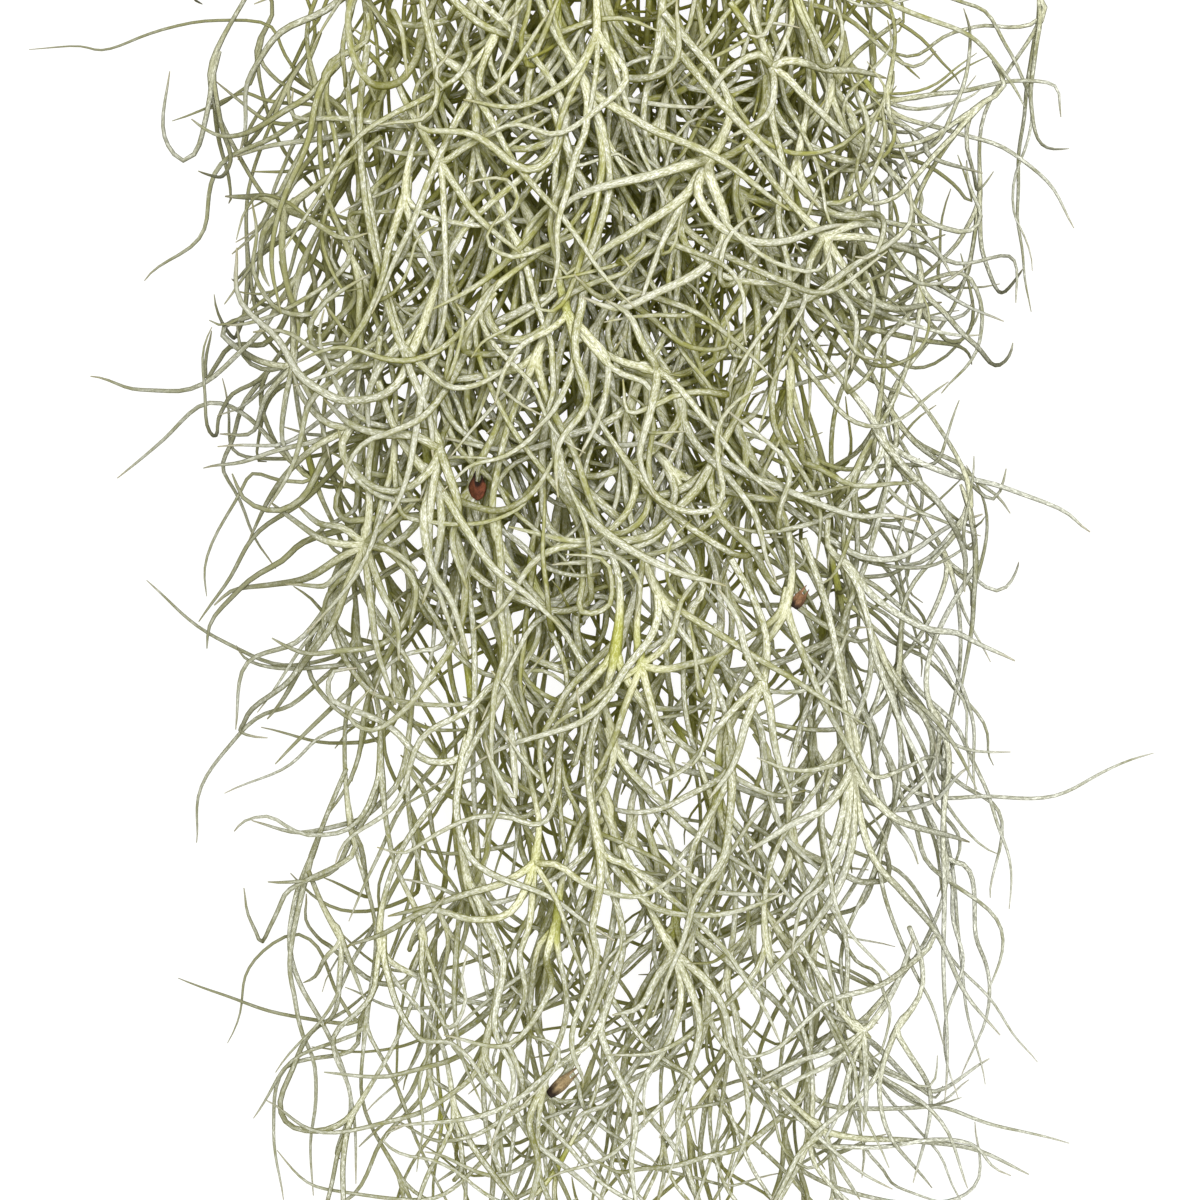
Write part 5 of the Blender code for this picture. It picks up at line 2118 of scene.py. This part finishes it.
@dataclass
class FaceSprays:
    """The stout sprays that lie draped over the bunch's face."""

    sprays: tuple[Spray, ...] = SPRAYS
    seed: int = 80
    sides: int = 8
    stem_share: float = 0.82
    sheath_share: float = 0.42
    waver: Span = (0.15, 0.5)
    unevenness: float = 1.2
    settle_down: float = 0.35
    stem_lift: float = 0.6
    shade: Span = (0.3, 0.75)
    shade_spread: float = 0.15
    leaf_girth: Span = (0.82, 1.12)
    past_node: float = 2.0
    sheath_place: Span = (2.5, 5.0)
    husk_place: Span = (3.0, 9.0)
    leaf_husk: Span = (0.12, 0.5)
    low_height: float = 0.11
    height_reach: float = 0.84
    envelope: Envelope = Envelope()
    form: StrandForm = StrandForm()

    def drape(self, way: tuple[float, ...], lift: float) -> list[np.ndarray]:
        """Lays a way over the bunch.

        Args:
            way: Its places from above.
            lift: How high it lies over the strands beneath it.

        Returns:
            The places.
        """
        flat = np.array(way).reshape(-1, 2)
        middle, half, thick = self.envelope.at(flat[:, 1])
        share = np.abs(flat[:, 0] - middle) / half
        bulge = np.sqrt(np.maximum(1.0 - 0.8 * share**2, 0.04))
        rise = np.linspace(lift, lift * (1.0 - self.settle_down), len(flat))
        height = thick * (self.low_height + self.height_reach * bulge) + rise
        return list(np.column_stack((flat, height)))

    def threads(self, rng: np.random.Generator, spray: Spray) -> list[Thread]:
        """Draws one spray.

        Args:
            rng: Source of its small differences.
            spray: What to draw.

        Returns:
            Its threads, in millimetres.
        """
        stem, *leaves = spray.ways
        shade = float(rng.uniform(*self.shade))
        knots = self.drape(stem, spray.lift * self.stem_lift)
        node = knots[-1]
        along = unit(node - knots[-2])
        knots.append(node + along * self.past_node)
        places, run = self.form.smooth(knots, self.form.stem_step)
        swell, young = (
            np.exp(-(((run[-1] - back - run) / width) ** 2))
            for back, width in (self.sheath_place, self.husk_place)
        )
        thick = spray.wide * (self.stem_share + self.sheath_share * swell)
        thick[-1] *= 0.5
        stem_run = np.full(len(run), self.form.stem_run)
        found = [Thread(places, thick, stem_run, spray.young * young, shade)]
        for way in leaves:
            lift = spray.lift + float(rng.uniform(-1.0, 1.0)) * self.unevenness
            ahead = self.drape(way, lift)
            buried = node - along * self.form.buried
            line, run = self.form.smooth([buried, node, *ahead], self.form.leaf_step)
            share = run / run[-1]
            stout = spray.wide * float(rng.uniform(*self.leaf_girth))
            thick = stout * np.interp(share, *zip(*self.form.taper))
            free = np.clip((run - 2.0 * self.form.buried) / self.form.waver_free, 0.0, 1.0)
            free *= float(rng.uniform(*self.waver))
            turns = run * FULL_TURN / float(rng.uniform(*self.form.waver_length))
            sway = np.outer(free * np.sin(turns), unit(rng.normal(size=3)))
            husk = spray.young * np.interp(share, self.leaf_husk, (1.0, 0.0))
            tint = float(np.clip(shade + rng.normal(0.0, self.shade_spread), 0.0, 1.0))
            found.append(Thread(line + sway, thick, share, husk, tint))
        return found

    def build(self, shop: Workshop) -> list[bpy.types.Object]:
        """Makes one piece for each tone of the sprays.

        Args:
            shop: What the pieces are made with.

        Returns:
            The pieces.
        """
        rng = np.random.default_rng(self.seed)
        found: dict[Tone, list[Thread]] = {tone: [] for tone in Tone}
        for spray in self.sprays:
            found[spray.tone] += self.threads(rng, spray)
        return [
            shop.piece(f"face_{tone.name.lower()}", threads, self.sides, tone)
            for tone, threads in found.items()
        ]


@dataclass
class DryBracts:
    """Dry brown scales that cling to the strands, each a thin curled blade with two lobes."""

    names: tuple[str, ...] = ("dry_bract_upper", "dry_bract_lower", "dry_bract_side")
    tans: tuple[float, ...] = (0.0, 0.9, 0.4)
    charred_tips: tuple[bool, ...] = (True, False, False)
    rows: int = 16
    columns: int = 12
    wall: float = 0.22
    ragged: float = 0.05
    end_zone: float = 0.3
    neck: float = 0.35
    swell: float = 0.75
    lobe_draw: float = 1.6
    wrap: float = 0.42
    curl: float = 0.38
    seed: int = 81
    lobes: tuple[Span, ...] = (
        (-1.0, 0.70), (-0.55, 1.0), (-0.08, 0.56), (0.05, 0.54), (0.5, 0.86), (1.0, 0.62),
    )

    def middles(self) -> list[np.ndarray]:
        """Gives the middle of each packed scale, in millimetres."""
        return [np.mean(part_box(name), axis=0) / MM for name in self.names]

    def build(self, husk: bpy.types.Material) -> list[bpy.types.Object]:
        """Makes one blade in the room of each packed scale.

        Args:
            husk: The material.

        Returns:
            The pieces.
        """
        pieces = []
        for name, tan, charred_tip in zip(self.names, self.tans, self.charred_tips):
            node = bpy.data.objects[name]
            points = np.array([corner.co[:] for corner in node.data.vertices]) / MM
            mesh = self.blade(name, points, charred_tip)
            mesh.materials.append(husk)
            write_mark(mesh, "tan", [tan] * len(mesh.vertices))
            piece = show(name + "_fine", mesh)
            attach(piece, "root")
            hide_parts(name)
            pieces.append(piece)
        return pieces

    def blade(self, name: str, points: np.ndarray, charred_tip: bool) -> bpy.types.Mesh:
        """Shapes a closed, curled blade inside a packed scale.

        Args:
            name: Name of the scale.
            points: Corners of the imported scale.
            charred_tip: Whether the lobes are burnt, not the base.

        Returns:
            The mesh, in metres.
        """
        rng = np.random.default_rng(self.seed)
        middle = points.mean(axis=0)
        axis = np.linalg.svd(points - middle)[2][0]
        reach = (points - middle) @ axis
        if (reach > reach.max() - self.end_zone).sum() > (reach < reach.min() + self.end_zone).sum():
            axis, reach = -axis, -reach
        base = middle + axis * reach.min()
        length = float(reach.max() - reach.min())
        side = unit(np.cross(axis, UP))
        lift = np.cross(side, axis)
        aside = np.abs((points - middle) @ side).max()
        upper, lower, run = [], [], []
        ends = [float(np.interp(v, *zip(*self.lobes))) for v in self.spread()]
        ends = [end + float(rng.normal(0.0, self.ragged)) for end in ends]
        for row in range(self.rows + 1):
            share = row / self.rows
            belly = math.sin(math.pi * min(share + 0.08, 1.0) * 0.8) ** 0.7
            wide = aside * (self.neck + self.swell * belly)
            drawn = max(share - 0.5, 0.0) ** 1.5 * self.lobe_draw
            for v, end in zip(self.spread(), ends):
                turn = v * math.pi * self.wrap
                lobe = math.copysign(0.5, v)
                spot = base + axis * length * share * min(end, 1.0)
                spot = spot + side * wide * (v * (1.0 - drawn) + lobe * drawn)
                bend = math.cos(2.0 * turn) - 0.3 + 0.5 * math.sin(5.0 * share + lobe * 3.0)
                spot = spot + lift * wide * self.curl * bend
                normal = unit(side * math.sin(turn) + lift * math.cos(turn))
                upper.append((spot + normal * self.wall / 2) * MM)
                lower.append((spot - normal * self.wall / 2) * MM)
                run.append(1.0 - share if charred_tip else share)
        mesh = bpy.data.meshes.new(name + "_fine")
        mesh.from_pydata([tuple(p) for p in (*upper, *lower)], [], self.faces(len(upper)))
        mesh.polygons.foreach_set("use_smooth", [True] * len(mesh.polygons))
        write_mark(mesh, "run", run + run)
        return mesh

    def faces(self, count: int) -> list[tuple[int, ...]]:
        """Joins the corners of a blade to a closed skin.

        Args:
            count: How many corners each of its two sides has.

        Returns:
            The faces.
        """
        wide = self.columns + 1
        faces = []
        for row in range(self.rows):
            for column in range(self.columns):
                a = row * wide + column
                faces.append((a, a + 1, a + wide + 1, a + wide))
                faces.append(tuple(count + i for i in (a, a + wide, a + wide + 1, a + 1)))
        rim = [*range(wide)]
        rim += [row * wide + self.columns for row in range(1, self.rows + 1)]
        rim += [self.rows * wide + column for column in range(self.columns - 1, -1, -1)]
        rim += [row * wide for row in range(self.rows - 1, 0, -1)]
        return faces + [(b, a, a + count, b + count) for a, b in zip(rim, rim[1:] + rim[:1])]

    def spread(self) -> list[float]:
        """Gives the columns' places across a blade, from -1 to 1."""
        return [2.0 * column / self.columns - 1.0 for column in range(self.columns + 1)]


@dataclass(frozen=True)
class Lamp:
    """One round lamp: its power in watts, and its width and place in metres."""

    name: str
    power: float
    size: float
    place: tuple[float, float, float]


@dataclass
class Studio:
    """Pale floor, soft light and the camera that looks straight down on the bunch."""

    view: float = 200.0
    lens: float = 110.0
    sensor: float = 36.0
    level: float = 30.0
    floor_size: float = 60.0
    lamps: tuple[Lamp, ...] = (
        Lamp("key_lamp", 60.0, 0.9, (0.45, 0.4, 2.35)),
        Lamp("fill_lamp", 21.0, 1.2, (-0.6, -0.1, 2.2)),
    )
    lamp_colour: Colour = (1.0, 0.995, 1.0)
    sky: float = 0.44
    sky_colour: Colour = (1.0, 0.98, 0.48)

    def floor(self) -> bpy.types.Object:
        """Lays the floor under the bunch.

        Returns:
            The floor.
        """
        half = self.floor_size / 2
        mesh = bpy.data.meshes.new("floor")
        corners = [(-half, -half, 0.0), (half, -half, 0.0), (half, half, 0.0), (-half, half, 0.0)]
        mesh.from_pydata(corners, [], [(0, 1, 2, 3)])
        mesh.materials.append(PaleFloor().build())
        floor = show("floor", mesh)
        floor.visible_diffuse = False
        floor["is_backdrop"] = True
        return floor

    def hang(self, lamp: Lamp) -> None:
        """Hangs one soft lamp that faces the bunch.

        Args:
            lamp: What to hang.
        """
        data = bpy.data.lights.new(lamp.name, "AREA")
        data.shape = "DISK"
        data.size = lamp.size
        data.energy = lamp.power
        data.color = self.lamp_colour
        thing = show(lamp.name, data)
        thing.visible_camera = False
        thing.rotation_mode = "QUATERNION"
        thing.location = lamp.place
        thing.rotation_quaternion = (-Vector(lamp.place)).to_track_quat("-Z", "Y")

    def light(self) -> None:
        """Sets the lamps and the soft light all round."""
        for lamp in self.lamps:
            self.hang(lamp)
        world = bpy.data.worlds.new("soft_room")
        world.use_nodes = True
        sky = world.node_tree.nodes["Background"]
        sky.inputs["Color"].default_value = (*self.sky_colour, 1.0)
        sky.inputs["Strength"].default_value = self.sky
        bpy.context.scene.world = world
        bpy.context.scene.view_settings.view_transform = "Standard"

    def camera(self, shift: np.ndarray) -> None:
        """Sets the camera over the middle of the view.

        Args:
            shift: The view's middle, in millimetres.
        """
        data = bpy.data.cameras.new("camera")
        data.lens = self.lens
        data.sensor_width = self.sensor
        camera = show("camera", data)
        height = self.view * self.lens / self.sensor + self.level
        camera.location = (shift[0] * MM, shift[1] * MM, height * MM)
        bpy.context.scene.camera = camera


def report(pieces: list[bpy.types.Object]) -> None:
    """Logs each piece and its triangles."""
    for piece in pieces:
        count = sum(len(face.vertices) - 2 for face in piece.data.polygons)
        LOG.info("%s: %d triangles", piece.name, count)


def main() -> None:
    """Builds the bunch, its floor, its light and its camera."""
    logging.basicConfig(level=logging.INFO, format="%(message)s")
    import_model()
    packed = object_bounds()
    strands = PackedStrands()
    strands.grow()
    shift = strands.find_shift()
    low, high = (np.array(corner) / MM for corner in packed)
    bracts = DryBracts()
    room = Room(low, high, shift, bracts.middles())
    shop = Workshop(Sweep(), room, {tone: skin.build() for tone, skin in SKINS.items()})
    for assembly in (strands, *TANGLES, FaceSprays()):
        report(assembly.build(shop))
    report(bracts.build(DryHusk().build()))
    studio = Studio()
    studio.floor()
    studio.light()
    studio.camera(shift)


if __name__ == "__main__":
    main()
